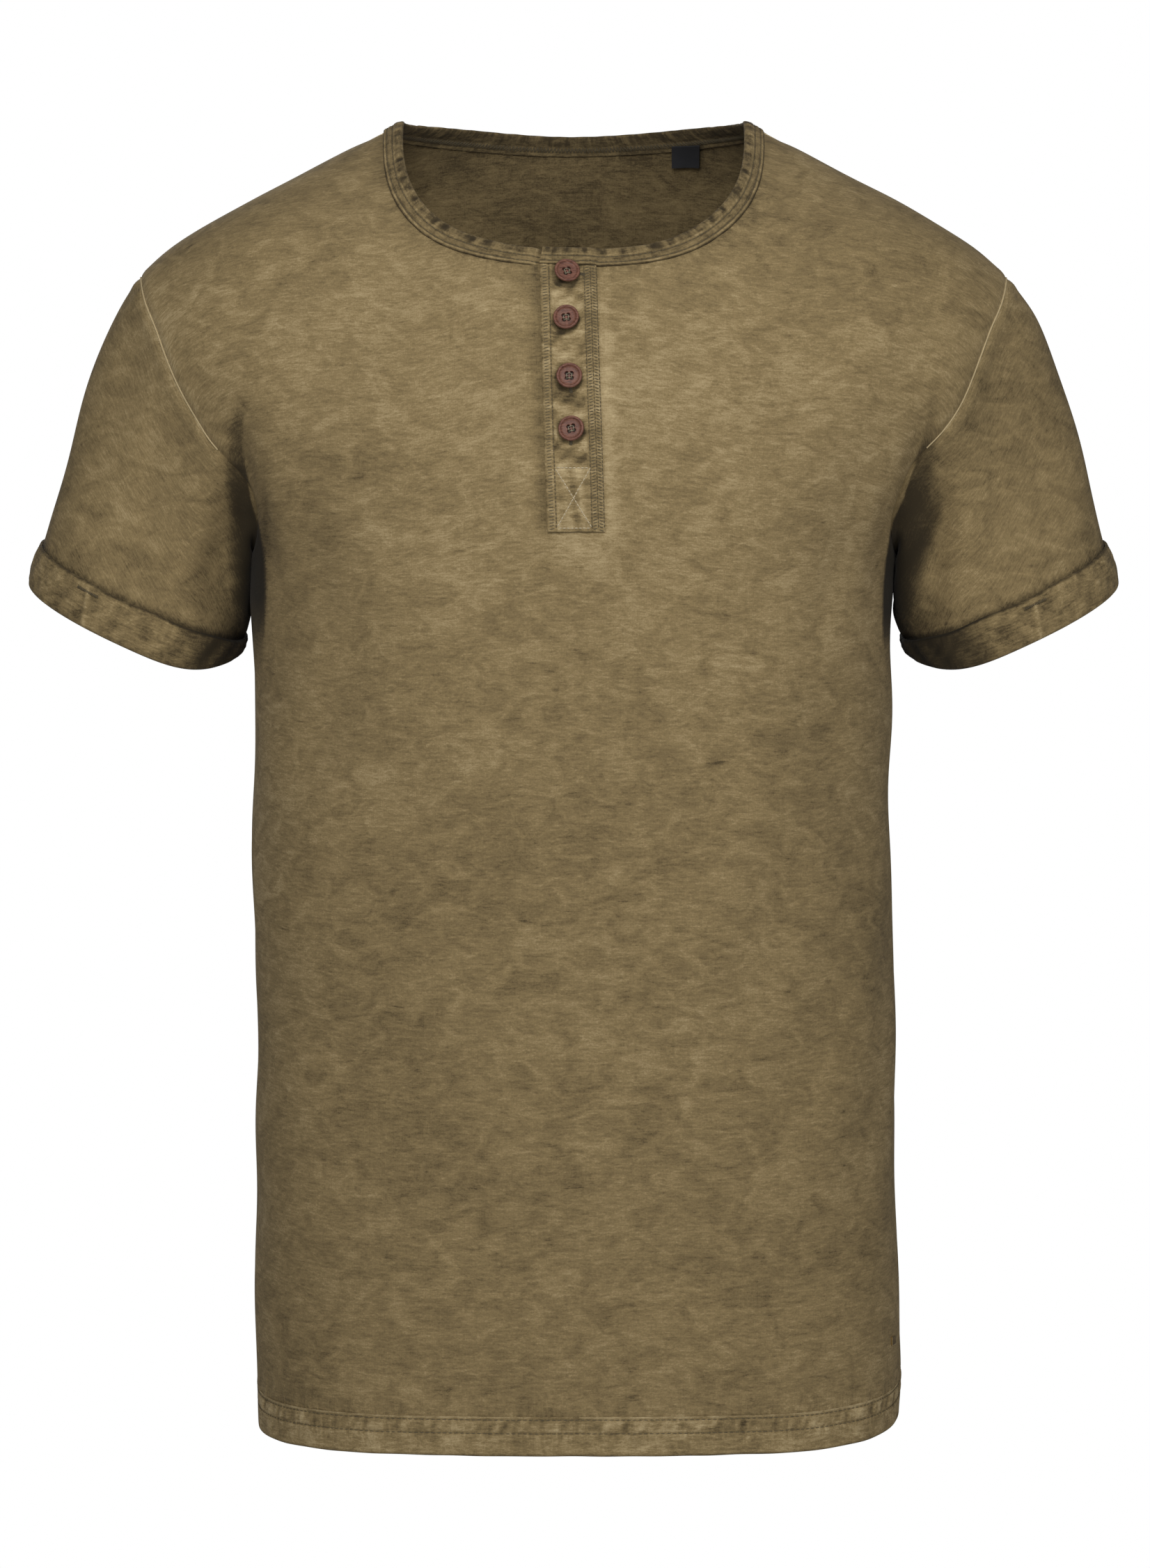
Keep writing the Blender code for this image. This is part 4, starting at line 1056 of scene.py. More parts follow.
def half_panel(face, side):
    """Turns and heights of half a panel, from the hem's top up and from its middle outwards."""
    top_turn, top_height = top_edge(face, side)
    left_turn, left_height = middle_edge(face, side, top_height[0])
    top_turn[0] = left_turn[-1]
    arm_turn, arm_height = armhole(np.linspace(math.pi, 0, ARMHOLE_STEPS + 1) * face, 1)
    arm_turn = arm_turn if face == FRONT else math.pi - arm_turn
    left, right = flat(left_turn, left_height, face), flat(arm_turn, arm_height, face)
    top = flat(top_turn, top_height, face)
    columns = NECK_STEPS + SHOULDER_STEPS
    bottom = left[0] + (right[0] - left[0]) * np.linspace(0, 1, columns + 1)[:, None]
    upper = net(bottom, top, left, right)
    height = upper[..., 1]
    turn = QUARTER * upper[..., 0] / girth(height, face)

    low = hem(turn[0] if face == FRONT else math.pi - turn[0]) + HEM_DEPTH - HEM_TUCK
    rise = np.arange(SKIRT_ROWS)[:, None] / SKIRT_ROWS
    skirt_height = low + (height[0] - low) * rise
    inner_turn = np.zeros(SKIRT_ROWS)
    if face == FRONT:
        inner_turn = beside_slit(skirt_height[:, 0], side)
    share = (turn[0] - turn[0, 0]) / (turn[0, -1] - turn[0, 0])
    skirt_turn = inner_turn[:, None] + (QUARTER - inner_turn)[:, None] * share
    return (finer_edge(np.concatenate([skirt_turn, turn])),
            finer_edge(np.concatenate([skirt_height, height])))


CENTRE_COLUMNS = 8


def panel_grid(face):
    """Turns and heights of a whole panel, and which of its cells are cloth."""
    left_turn, left_height = half_panel(face, -1)
    right_turn, right_height = half_panel(face, 1)
    if face == BACK:
        turn = np.concatenate([-left_turn[:, ::-1], right_turn[:, 1:]], axis=1)
        height = np.concatenate([left_height[:, ::-1], right_height[:, 1:]], axis=1)
        return math.pi - turn[:, ::-1], height[:, ::-1], None
    share = np.arange(1, CENTRE_COLUMNS) / CENTRE_COLUMNS
    centre_turn = -left_turn[:, :1] + (right_turn[:, :1] + left_turn[:, :1]) * share
    centre_height = left_height[:, :1] + (right_height[:, :1] - left_height[:, :1]) * share
    turn = np.concatenate([-left_turn[:, ::-1], centre_turn, right_turn], axis=1)
    height = np.concatenate([left_height[:, ::-1], centre_height, right_height], axis=1)
    is_cloth = np.ones((len(turn) - 1, turn.shape[1] - 1), bool)
    first = left_turn.shape[1] - 1
    is_cloth[SKIRT_ROWS + SLIT_STEPS_BELOW :, first : first + CENTRE_COLUMNS] = False
    return turn, height, is_cloth


SEAM_SAMPLES = 700


def armhole_line(side):
    return body(*armhole(np.linspace(0, TURN, SEAM_SAMPLES), side))


def neck_line():
    return body(*neck(np.linspace(0, TURN, SEAM_SAMPLES), 1.0))


def shoulder_line(side):
    return body(side * QUARTER, np.linspace(NECK_RIDGE[1], SHOULDER_TIP, 120))


def side_line(side):
    return body(side * QUARTER, np.linspace(UNDERARM, HEM_SIDE + HEM_DEPTH, 240))


SEAM_DIP = 0.0006
SEAM_DIP_WIDTH = 0.0013
SEAM_RIDGE = 0.0004
SEAM_RIDGE_PLACE = 0.0052
SEAM_RIDGE_WIDTH = 0.0028


def seam_relief(away):
    """The push outwards beside a seam: a dip at it and a low ridge beside it, two bells."""
    dip = -SEAM_DIP * bell(away, 0, SEAM_DIP_WIDTH)
    return dip + SEAM_RIDGE * bell(away, SEAM_RIDGE_PLACE, SEAM_RIDGE_WIDTH)


def spot(x, z, middle_x, middle_z, width, height):
    """A soft oval spot of 1 at its middle: a bell across times a bell upwards."""
    return np.exp(-(((x - middle_x) / width) ** 2) - ((z - middle_z) / height) ** 2)


# Where the body's fold shades the sleeve behind it: height, soft x, sharp x, strength, upwards
SHADE_COLUMNS = {
    -1: np.array((
        (-0.310, -0.1800, -0.1660, 0.00), (-0.2900, -0.1840, -0.1655, 0.20),
        (-0.2745, -0.1869, -0.1640, 0.66), (-0.2563, -0.1894, -0.1635, 1.00),
        (-0.2380, -0.1902, -0.1650, 1.00), (-0.2234, -0.1891, -0.1672, 0.95),
        (-0.2088, -0.1883, -0.1712, 0.87), (-0.1942, -0.1883, -0.1737, 0.70),
        (-0.1796, -0.1869, -0.1748, 0.48), (-0.1650, -0.1810, -0.1734, 0.46),
        (-0.1504, -0.1715, -0.1650, 0.00),
    )),
    1: np.array((
        (-0.310, 0.1850, 0.1665, 0.00), (-0.2900, 0.1880, 0.1655, 0.20),
        (-0.2745, 0.1902, 0.1646, 0.66), (-0.2563, 0.1920, 0.1655, 1.00),
        (-0.2380, 0.1964, 0.1670, 1.00), (-0.2179, 0.1978, 0.1700, 0.93),
        (-0.2070, 0.1986, 0.1750, 0.84), (-0.1869, 0.1964, 0.1815, 0.58),
        (-0.1650, 0.1927, 0.1866, 0.38), (-0.1449, 0.1920, 0.1890, 0.00),
    )),
}
SHADE_EDGE = 0.0016
# Soft shades beside the armpits: strength, middle x and z, width, height
ARMPIT_SPOTS = (
    (0.40, -0.1670, -0.2480, 0.0035, 0.0170),
    (0.55, 0.1665, -0.2560, 0.0045, 0.0170),
)
# Soft troughs down into them: strength, top x and z, lower x and z, width, place of the peak
ARMPIT_TROUGHS = (
    (0.45, -0.1602, -0.1877, -0.1650, -0.2600, 0.0032, 0.5),
    (0.40, 0.2055, -0.1780, 0.1788, -0.2500, 0.0048, 0.6),
)
# Broad shades of the front: strength, middle x and z, width, height
FRONT_SPOTS = (
    (0.20, -0.176, -0.235, 0.012, 0.040),
    (0.20, 0.176, -0.235, 0.012, 0.040),
)
# Paler places of the front, in the same columns
WORN_SPOTS = (
    (0.30, 0.002, -0.236, 0.020, 0.010),
    (0.16, 0.030, -0.160, 0.050, 0.070),
)


def armpit_shade(x, z, side):
    """Dark beside the fold in front of an armpit: rising from its soft side to its sharp one."""
    heights, soft, sharp, strength = SHADE_COLUMNS[side].T
    soft_x, sharp_x, amount = (np.interp(z, heights, v) for v in (soft, sharp, strength))
    share = np.clip((x - soft_x) / (sharp_x - soft_x), 0, 1)
    beyond = smooth_step(0, SHADE_EDGE, -side * (x - sharp_x))
    return amount * smooth_step(0, 0.64, share) * (0.82 + 0.18 * share) * (1 - beyond)


def side_shades(x, z):
    """The armpits' shades and the soft troughs that run down into them."""
    total = armpit_shade(x, z, -1) + armpit_shade(x, z, 1)
    for strength, *place in ARMPIT_SPOTS:
        total = total + strength * spot(x, z, *place)
    for strength, top_x, top_z, low_x, low_z, width, peak in ARMPIT_TROUGHS:
        total = total + strength * along_fold(x, z, (top_x, top_z), (low_x, low_z), width, peak)
    return total


def front_shades(x, z):
    """Painted shade and pale marks of the front, at the armpits, lower down and by the placket."""
    painted_shade = sum(strength * spot(x, z, *place) for strength, *place in FRONT_SPOTS)
    # Painted shade at the armpits, lower down, near the top and the right shoulder; less low at the
    # sides
    painted_shade = painted_shade + side_shades(x, z) + 0.19 * smooth_step(-0.20, -0.42, z)
    painted_shade = painted_shade + 0.08 * smooth_step(-0.13, -0.05, z)
    painted_shade = painted_shade + 0.16 * spot(x, z, 0.140, -0.080, 0.060, 0.040)
    painted_shade = painted_shade - 0.10 * smooth_step(0.148, 0.170, np.abs(x)) * smooth_step(-0.28, -0.34, z)
    beside = smooth_step(-0.236, -0.222, z) * (1 - smooth_step(-0.088, -0.078, z))
    middle = placket_middle(z)
    # Painted shadow beside the placket's free edge; paler by its sewn edge: wear and painted
    # highlight
    painted_shade = painted_shade + 0.42 * beside * bell(x - middle, -0.0175, 0.0036)
    worn = 0.30 * beside * bell(x - middle, 0.0182, 0.0038)
    for strength, *place in WORN_SPOTS:
        worn = worn + strength * spot(x, z, *place)
    return painted_shade, worn


# Cloth along the hem, in metres for each radian of turn
HEM_REACH = 0.16


def panel(name, face):
    """The front or the back, down to its hem, with dips and puckers beside its seams."""
    turn, height, is_cloth = panel_grid(face)
    outer = body(turn, height)
    normal = outward(body, turn, height)
    seams = [near(outer, line(side)) for side in (-1, 1)
             for line in (armhole_line, shoulder_line, side_line)]
    seam_away = np.min([away for away, _ in seams], axis=0)
    neck_away, neck_along = near(outer, neck_line())
    hem_along = turn * HEM_REACH
    above_hem = height - hem(turn) - HEM_DEPTH
    hem_away = np.maximum(above_hem, 0)
    push = seam_relief(seam_away) - 0.0008 * smooth_step(0.0003, -0.0006, above_hem)
    push = push + 0.00055 * ripple(neck_along, 0.0062, seed=3) * bell(neck_away, 0, 0.008)
    push = push + 0.00050 * ripple(hem_along, 0.0085, seed=5) * np.exp(-hem_away / 0.006)
    outer = outer + push[..., None] * normal

    upper = slice(-ARMHOLE_STEPS - 1, None)
    angle = np.linspace(math.pi, 0, ARMHOLE_STEPS + 1) * face
    for column, side in ((0, -face), (-1, face)):
        normal[upper, column] = sleeve_seam(angle, side)[3]
    painted_shade, worn = front_shades(outer[..., 0], height)
    # Behind, only the painted shade towards the sides is kept
    if face == BACK:
        painted_shade, worn = painted_shade * 0.6 * (np.abs(outer[..., 0]) > 0.1), worn * 0
    else:
        seam_away = seam_away + 0.02 * smooth_step(-0.170, -0.195, height)
    by_neck = neck_away < hem_away
    away = np.where(by_neck, neck_away, hem_away)
    marks = {
        "seam_away": seam_away,
        # Painted shade beside the neck seam
        "painted_shade": painted_shade + 0.20 * np.exp(-neck_away / 0.006),
        "worn": worn,
        "edge_place": edge_marks(np.where(by_neck, neck_along, hem_along), away),
    }
    return shell(name, outer, outer - CLOTH * normal, JERSEY, marks, is_cloth)


HEM_COLUMNS = 440
HEM_ROWS = 42
HEM_CLOTH = 0.0027
HEM_STITCH_ROWS = (0.0120, 0.0190)


def hem_fold(name, face):
    """The turned-up hem of a panel: double cloth, rolled at its edge and puckered by its rows."""
    start = -QUARTER if face == FRONT else QUARTER
    turn = np.linspace(start, start + math.pi, HEM_COLUMNS + 1)[None, :]
    rise = HEM_DEPTH * np.linspace(0, 1, HEM_ROWS + 1)[:, None] ** 1.15
    half = HEM_CLOTH / 2
    roll = half * (1 - np.sqrt(1 - np.clip(1 - rise / half, 0, 0.97) ** 2))
    step = HEM_CLOTH - CLOTH
    outer_height = hem(turn) + rise
    normal = outward(body, turn, outer_height)
    surface = body(turn, outer_height)
    run = np.broadcast_to(lengths_along(surface[-1])[None], outer_height.shape)
    rows = sum(bell(rise, row, 0.0008) for row in HEM_STITCH_ROWS)
    between = np.sin(math.pi * np.clip(rise / HEM_STITCH_ROWS[0], 0, 1)) ** 0.7
    upper = np.sin(math.pi * np.clip((rise - HEM_STITCH_ROWS[0]) / 0.007, 0, 1)) ** 0.7
    low_pucker = 0.00030 * between * ripple(run + 0.35 * rise, 0.0100, seed=21 + face)
    high_pucker = 0.00034 * upper * ripple(run - 0.45 * rise, 0.0031, seed=31 + face)
    high_pucker = high_pucker + 0.00042 * upper * ripple(run - 0.30 * rise, 0.0078, seed=35 + face)
    pucker = low_pucker + high_pucker
    edge_wave = 0.00015 * ripple(run, 0.0150, seed=41 + face) * (1 - rise / HEM_DEPTH)
    out = pucker - 0.00045 * rows + 0.0003
    outer = surface + (out - roll)[..., None] * normal
    outer[..., 2] += edge_wave
    inner_out = 0.4 * pucker - step * (1 - smooth_step(0.85, 1.0, rise / HEM_DEPTH)) - CLOTH
    inner = surface + (inner_out + roll)[..., None] * normal
    inner[..., 2] += edge_wave
    seam_away = (1 - np.abs(np.sin(turn))) * 10
    marks = {
        "seam_away": np.broadcast_to(np.clip(seam_away, 0, 1), rise.shape[:1] + turn.shape[1:]),
        # Painted shade in the puckers' troughs, in the stitched rows and under the rolled edge
        "painted_shade": np.clip(-1100 * high_pucker, 0, 0.62) + np.clip(-420 * low_pucker, 0, 0.2)
        + 0.30 * rows + 0.45 * bell(rise, 0, 0.0012),
        # Paler on the puckers' crests: wear and painted highlight
        "worn": np.clip(700 * high_pucker, 0, 0.36) + np.clip(420 * low_pucker, 0, 0.2) + 0.05
        + 0.40 * bell(rise, 0.0200, 0.0007)
        + 0.20 * bell(rise, 0.0128, 0.0005),
        "edge_place": edge_marks(run, np.abs(rise - HEM_STITCH_ROWS[0]) + 0 * turn),
    }
    piece = shell(name, outer, inner, HEM_CLOTH_LOOK, marks)
    lines = []
    for row in HEM_STITCH_ROWS:
        k = np.abs(rise[:, 0] - row).argmin()
        lines.append((outer[k] + 0.00005 * normal[k], normal[k]))
    return piece, lines


def sleeve_piece(name, side):
    """A sleeve: a tube from the armhole down into its cuff, with puckers round the armhole."""
    angle = np.linspace(0, TURN, 2 * ARMHOLE_STEPS + 1)
    share = np.linspace(0, 1, SLEEVE_ROWS + 1)[:, None] ** 1.12
    outer = sleeve(angle, share, side)
    outer[:, -1] = outer[:, 0]
    normal = side * outward(lambda u, v: sleeve(u, v, side), angle, share, 1e-3)
    normal[0] = sleeve_seam(angle, side)[3]
    normal[-1] = cuff_normal(angle, 0.0, side)
    normal[:, -1] = normal[:, 0]
    seam_away, seam_along = near(outer, armhole_line(side))
    push = seam_relief(seam_away) * 1.2
    push = push + 0.00045 * ripple(seam_along, 0.0090, seed=51) * bell(seam_away, 0, 0.012)
    down_to_cuff = np.linalg.norm(outer - outer[-1], axis=-1)
    cuff_run = np.broadcast_to(lengths_along(outer[-1]), down_to_cuff.shape)
    push = push + 0.0005 * ripple(cuff_run, 0.0110, seed=61) * bell(down_to_cuff, 0, 0.010)
    push[:, -1] = push[:, 0]
    outer = outer + push[..., None] * normal
    tail = np.linspace(0, CUFF_HEIGHT - 0.0022, 6)[1:, None]
    outer = np.concatenate([outer, cuff_line(angle, tail, side)])
    normal = np.concatenate([normal, cuff_normal(angle, tail, side)])
    outer[:, -1], normal[:, -1] = outer[:, 0], normal[:, 0]
    extra = np.zeros((len(tail), outer.shape[1]))
    from_cuff = np.concatenate([down_to_cuff, extra])
    underarm_shade = bell(angle, math.pi, 0.75) * np.ones(outer.shape[:2])
    in_front = smooth_step(0.02, -0.02, outer[..., 1])
    shade = side_shades(outer[..., 0], outer[..., 2]) * in_front
    hidden = 0.02 * smooth_step(-0.170, -0.195, outer[: len(seam_away), :, 2])
    marks = {
        "seam_away": np.concatenate([seam_away + hidden, extra + 1]),
        # Painted shade under the arm, beside the body's fold and over the whole sleeve; painted
        # shadow above the cuff
        "painted_shade": np.maximum(0.70 * underarm_shade, shade) + 0.15
        + 0.50 * bell(from_cuff, 0, 0.0028),
        "edge_place": edge_marks(
            np.concatenate([cuff_run, np.broadcast_to(cuff_run[-1], extra.shape)]), from_cuff),
    }
    return shell(name, outer, outer - CLOTH * normal, JERSEY, marks, is_tube=True)


CUFF_PROFILE = (
    (0.0000, 0.0004), (0.0001, 0.0012), (0.0006, 0.0019), (0.0020, 0.0022), (0.0050, 0.0025),
    (0.0080, 0.0026), (0.0115, 0.0027), (0.0150, 0.0026), (0.0180, 0.0024), (0.0205, 0.0021),
    (0.0221, 0.0015), (0.0229, 0.0005), (0.0230, -0.0005), (0.0224, -0.0012), (0.0214, -0.0013),
    (0.0212, -0.0002), (0.0205, 0.0003), (0.0150, 0.0004), (0.0080, 0.0004), (0.0030, 0.0004),
)
CUFF_TACK_ANGLE = {-1: 1.12, 1: 1.36}
CUFF_PROFILE_STEPS = 3
CUFF_SHADE = {-1: 0.70, 1: 0.85}
CUFF_SHADE_REACH = {-1: (0.15, 0.95), 1: (-0.10, 0.80)}


def closed_curve(points, steps):
    """A closed curve through points, each gap cut in steps: Catmull-Rom cubics."""
    p = np.array(points)
    before, after, later = np.roll(p, 1, 0), np.roll(p, -1, 0), np.roll(p, -2, 0)
    t = (np.arange(steps) / steps)[None, :, None]
    p, before, after, later = (v[:, None] for v in (p, before, after, later))
    cubic = 0.5 * (2 * p + (after - before) * t + (2 * before - 5 * p + 4 * after - later) * t**2
                   + (3 * p - before - 3 * after + later) * t**3)
    return cubic.reshape(-1, len(points[0]))


def loop_tube(name, sections, finish, marks, uv, is_loop):
    """A closed body through a row of like closed sections: a loop, or capped at both ends."""
    count, size = sections.shape[:2]
    index = np.arange(count * size).reshape(count, size)
    rows = np.concatenate([index, index[:1]]) if is_loop else index
    rows = np.concatenate([rows, rows[:, :1]], axis=1)
    faces = np.stack([rows[:-1, :-1], rows[:-1, 1:], rows[1:, 1:], rows[1:, :-1]], axis=-1)
    faces = faces.reshape(-1, 4)[:, ::-1]
    a, b = np.divmod(np.arange(len(faces)), size)
    corners = np.stack([uv[a + 1, b], uv[a + 1, b + 1], uv[a, b + 1], uv[a, b]], axis=1)
    loops = corners.reshape(-1, 2)
    faces = faces.tolist()
    if not is_loop:
        faces += [index[0].tolist(), index[-1, ::-1].tolist()]
        loops = np.concatenate([loops, uv[0, :size], uv[-1, :size][::-1]])
    spread = cloth_marks((count, size), marks)
    return add_mesh(name, sections.reshape(-1, 3), faces, finish, loops, spread)


CUFF_COLUMNS = 340


def cuff_piece(name, side):
    """A turned-up cuff: a ring of double cloth, wrinkled across, with a crease below its tack."""
    profile = closed_curve(CUFF_PROFILE, CUFF_PROFILE_STEPS)
    down, out = profile[None, :, 0], profile[None, :, 1]
    angle = np.linspace(0, TURN, CUFF_COLUMNS + 1)[:-1, None]
    line = cuff_line(angle, down, side)
    normal = cuff_normal(angle, down, side)
    run = lengths_along(np.concatenate([line[:, 0], line[:1, 0]]))
    along = run[:-1, None] + 0 * down
    outside = smooth_step(0.0002, 0.0012, out)
    body_of_it = np.sin(math.pi * np.clip(down / CUFF_HEIGHT, 0, 1)) ** 0.5
    waves = ripple(along + 0.55 * down, 0.0088, seed=71 + side)
    small = ripple(along - 0.8 * down, 0.0047, seed=81 + side)
    wrinkle = outside * body_of_it * (0.00055 * waves + 0.00022 * small)
    tack_run = np.interp(CUFF_TACK_ANGLE[side], angle[:, 0], run[:-1])
    crease = bell(along - tack_run - 0.12 * down, 0, 0.0016)
    crease = crease * outside * smooth_step(0.002, 0.005, down)
    push = out + wrinkle + 0.0011 * crease
    lift = 0.0006 * ripple(along, 0.0200, seed=91 + side)
    sections = cuff_line(angle, down + lift * (down < 0.01), side) + push[..., None] * normal
    profile_run = lengths_along(np.concatenate([profile, profile[:1]]))
    uv = np.stack(np.broadcast_arrays(run[:, None], -profile_run[None, :]), axis=-1)
    marks = {
        # Painted shade in the wrinkles' troughs, over the whole cuff and on its inner side; painted
        # shadow at its top edge
        "painted_shade": np.clip(-480 * wrinkle, 0, 0.45) + 0.19
        + 0.55 * bell(down, 0, 0.0010)
        + CUFF_SHADE[side] * smooth_step(*CUFF_SHADE_REACH[side], -np.cos(angle)),
        # Paler on the wrinkles' crests: wear and painted highlight
        "worn": np.clip(300 * wrinkle, 0, 0.30) + 0.60 * crease,
        "edge_place": edge_marks(along, np.minimum(down, CUFF_HEIGHT - down).clip(0)),
    }
    return loop_tube(name, sections, CUFF_CLOTH_LOOK, marks, uv, is_loop=True)


def cuff_tack(name, side):
    """The bar tack that holds a cuff up: dense slanting thread over a short bar."""
    count = 15
    place = np.linspace(-0.5, 0.5, count)
    length, half = 0.0105, 0.0009
    angle = CUFF_TACK_ANGLE[side] + place * length / 0.053
    down = 0.0042 + 0.0 * place
    normal = cuff_normal(angle, down, side)
    middle = cuff_line(angle, down, side) + 0.0031 * normal
    fall = CUFF_FALL * (side, 1, 1)
    slant = np.roll(middle, -1, axis=0) - middle
    slant[-1] = slant[-2]
    return stitches(name, middle - half * fall, middle + half * fall + 0.6 * slant, normal,
                    0.00034, 0.0006, DARK_THREAD)


BAND_PROFILE = (
    (1.040, 0.0006), (0.985, 0.0010), (0.900, 0.0012), (0.840, 0.0009), (0.760, 0.0012),
    (0.640, 0.0013), (0.540, 0.0009), (0.450, 0.0013), (0.330, 0.0014), (0.200, 0.0012),
    (0.090, 0.0008), (0.020, 0.0002), (0.000, -0.0005), (0.020, -0.0012), (0.090, -0.0016),
    (0.200, -0.0019), (0.330, -0.0020), (0.450, -0.0019), (0.540, -0.0017), (0.640, -0.0019),
    (0.760, -0.0019), (0.840, -0.0017), (0.900, -0.0021), (0.985, -0.0024), (1.020, -0.0017),
    (1.030, -0.0004),
)
BAND_PROFILE_STEPS = 2
BAND_CUTS = 14
BAND_LIFT = 0.0016
BAND_RAMP = 0.0060
BAND_END_SHARE = 0.8
BAND_CONTROL_STEPS = 8
BAND_STITCH_ROWS = (0.840, 0.540)
BAND_WIDTH = 0.0098


def band_angles():
    """The angles round the neck of the band's sections, from its outer end to its inner end."""
    half_width = section("right", NECK_RIDGE[1])
    reach = np.array((-PLACKET_HALF_WIDTH, -SLIT_HALF_WIDTH, SLIT_HALF_WIDTH))
    free, left, right = angle_at((PLACKET_MIDDLE_TOP + reach) / half_width, NECK_SQUARENESS)
    right_run = np.linspace(right, QUARTER, BAND_CONTROL_STEPS + 1)
    behind = np.linspace(QUARTER, 3 * QUARTER, 2 * BAND_CONTROL_STEPS + 1)[1:]
    left_run = np.linspace(3 * QUARTER, TURN + left, BAND_CONTROL_STEPS + 1)[1:]
    under = TURN + np.array((0.0, BAND_END_SHARE)) * right
    coarse = np.concatenate([[free, left, 0.0], right_run, behind, left_run, under])
    fine = np.linspace(0, len(coarse) - 1, (len(coarse) - 1) * BAND_CUTS + 1)
    return np.interp(fine, np.arange(len(coarse)), coarse)


def band_lift(angle):
    """How far the band is raised where its end laps over, and sunk where it passes under."""
    half_width = section("right", NECK_RIDGE[1])
    slit_right = PLACKET_MIDDLE_TOP + SLIT_HALF_WIDTH
    free_edge = PLACKET_HALF_WIDTH - PLACKET_MIDDLE_TOP
    over = 1 - smooth_step(slit_right, slit_right + BAND_RAMP, half_width * angle)
    under = 1 - smooth_step(free_edge, free_edge + BAND_RAMP, half_width * (TURN - angle))
    return BAND_LIFT * (over - under)


def neck_band(name):
    """The neck band: a doubled strip round the neck, gathered at its edge by its two rows."""
    angle = band_angles()
    profile = closed_curve(BAND_PROFILE, BAND_PROFILE_STEPS)
    row, out = profile[:, 0], profile[:, 1]
    surface = body(*neck(angle[:, None], row))
    normal = outward(body, *neck(angle, 0.5))[:, None]
    line = body(*neck(angle, 0.0))
    run = lengths_along(line)
    near_edge = 1 - smooth_step(0.25, 0.60, row)
    is_outside = smooth_step(-0.0008, 0.0004, out)
    gather = ripple(run[:, None] + 0 * row, 0.0044, seed=101) * 0.00052
    gather = gather + ripple(run[:, None] + 0.004 * row, 0.0025, seed=103) * 0.00034
    amount = near_edge * (0.35 + 0.65 * is_outside) * smooth_step(-0.02, 0.14, row)
    small = ripple(run[:, None] + 0.004 * row, 0.0030, seed=107) * 0.00016 * (1 - near_edge)
    push = out + band_lift(angle)[:, None] + gather * amount + small
    sections = surface + push[..., None] * normal
    sections[..., 2] += 0.0001 * (ripple(run, 0.0062, seed=109)[:, None] * near_edge)
    profile_run = np.concatenate([row, row[:1]]) * BAND_WIDTH
    uv = np.stack(np.broadcast_arrays(run[:, None], profile_run[None, :]), axis=-1)
    behind = smooth_step(1.2, 1.7, angle) * (1 - smooth_step(TURN - 1.7, TURN - 1.2, angle))
    inside = 1 - is_outside
    marks = {
        # Painted shade in the gathers' troughs, over the band, inside it behind, along its rows and
        # at its sewn edge
        "painted_shade": np.clip(-900 * gather * amount, 0, 0.72) + 0.36 + 0.08 * near_edge
        + 0.22 * inside * behind[:, None]
        + 0.30 * sum(bell(row, r, 0.035) for r in BAND_STITCH_ROWS) * is_outside
        + 0.45 * bell(row, 1.03, 0.04),
        # Paler on the gathers' crests: wear and painted highlight
        "worn": np.clip(600 * gather * amount, 0, 0.45)
        + 0.34 * bell(row, 0.46, 0.05) * is_outside
        + 0.40 * bell(row, 0.94, 0.04) * is_outside,
        "edge_place": edge_marks(run[:, None], BAND_WIDTH * row),
    }
    rows, inner_rows = [], []
    half = len(row) // 2
    for share in BAND_STITCH_ROWS:
        for found, first, part, up in ((rows, 0, row[:half], normal[:, 0]),
                                       (inner_rows, half, row[half:], -normal[:, 0])):
            k = first + np.abs(part - share).argmin()
            found.append((sections[:, k] + 0.00008 * up, up))
    piece = loop_tube(name, sections, BAND_LOOK, marks, uv, is_loop=False)
    return piece, rows, inner_rows


PLACKET_ROWS = 300
PLACKET_COLUMNS = 60
PLACKET_CLOTH = 0.0013
FREE_EDGE_RISE = 0.0008
SEAM_GAP = 0.0003
BOX_TOP = -0.1942
BOX_BOTTOM = -0.2252
# The stitched columns: in from the strip's free edge, and two in from its sewn edge
FREE_COLUMN = 0.0048
SEWN_COLUMNS = (0.0065, 0.0032)
BOX_LEFT = FREE_COLUMN - PLACKET_HALF_WIDTH
BOX_RIGHT = PLACKET_HALF_WIDTH - SEWN_COLUMNS[0]


def placket_surface(across, height, out):
    """A point above the placket's middle line: across in metres, out from the front's face."""
    return off_body(turn_at(placket_middle(height) + across, height), height, out)


def placket_out(across):
    """How far the outer strip's face stands off the front: more at its free edge."""
    rise = FREE_EDGE_RISE * smooth_step(0, 1, -across / PLACKET_HALF_WIDTH)
    return SEAM_GAP + PLACKET_CLOTH + rise


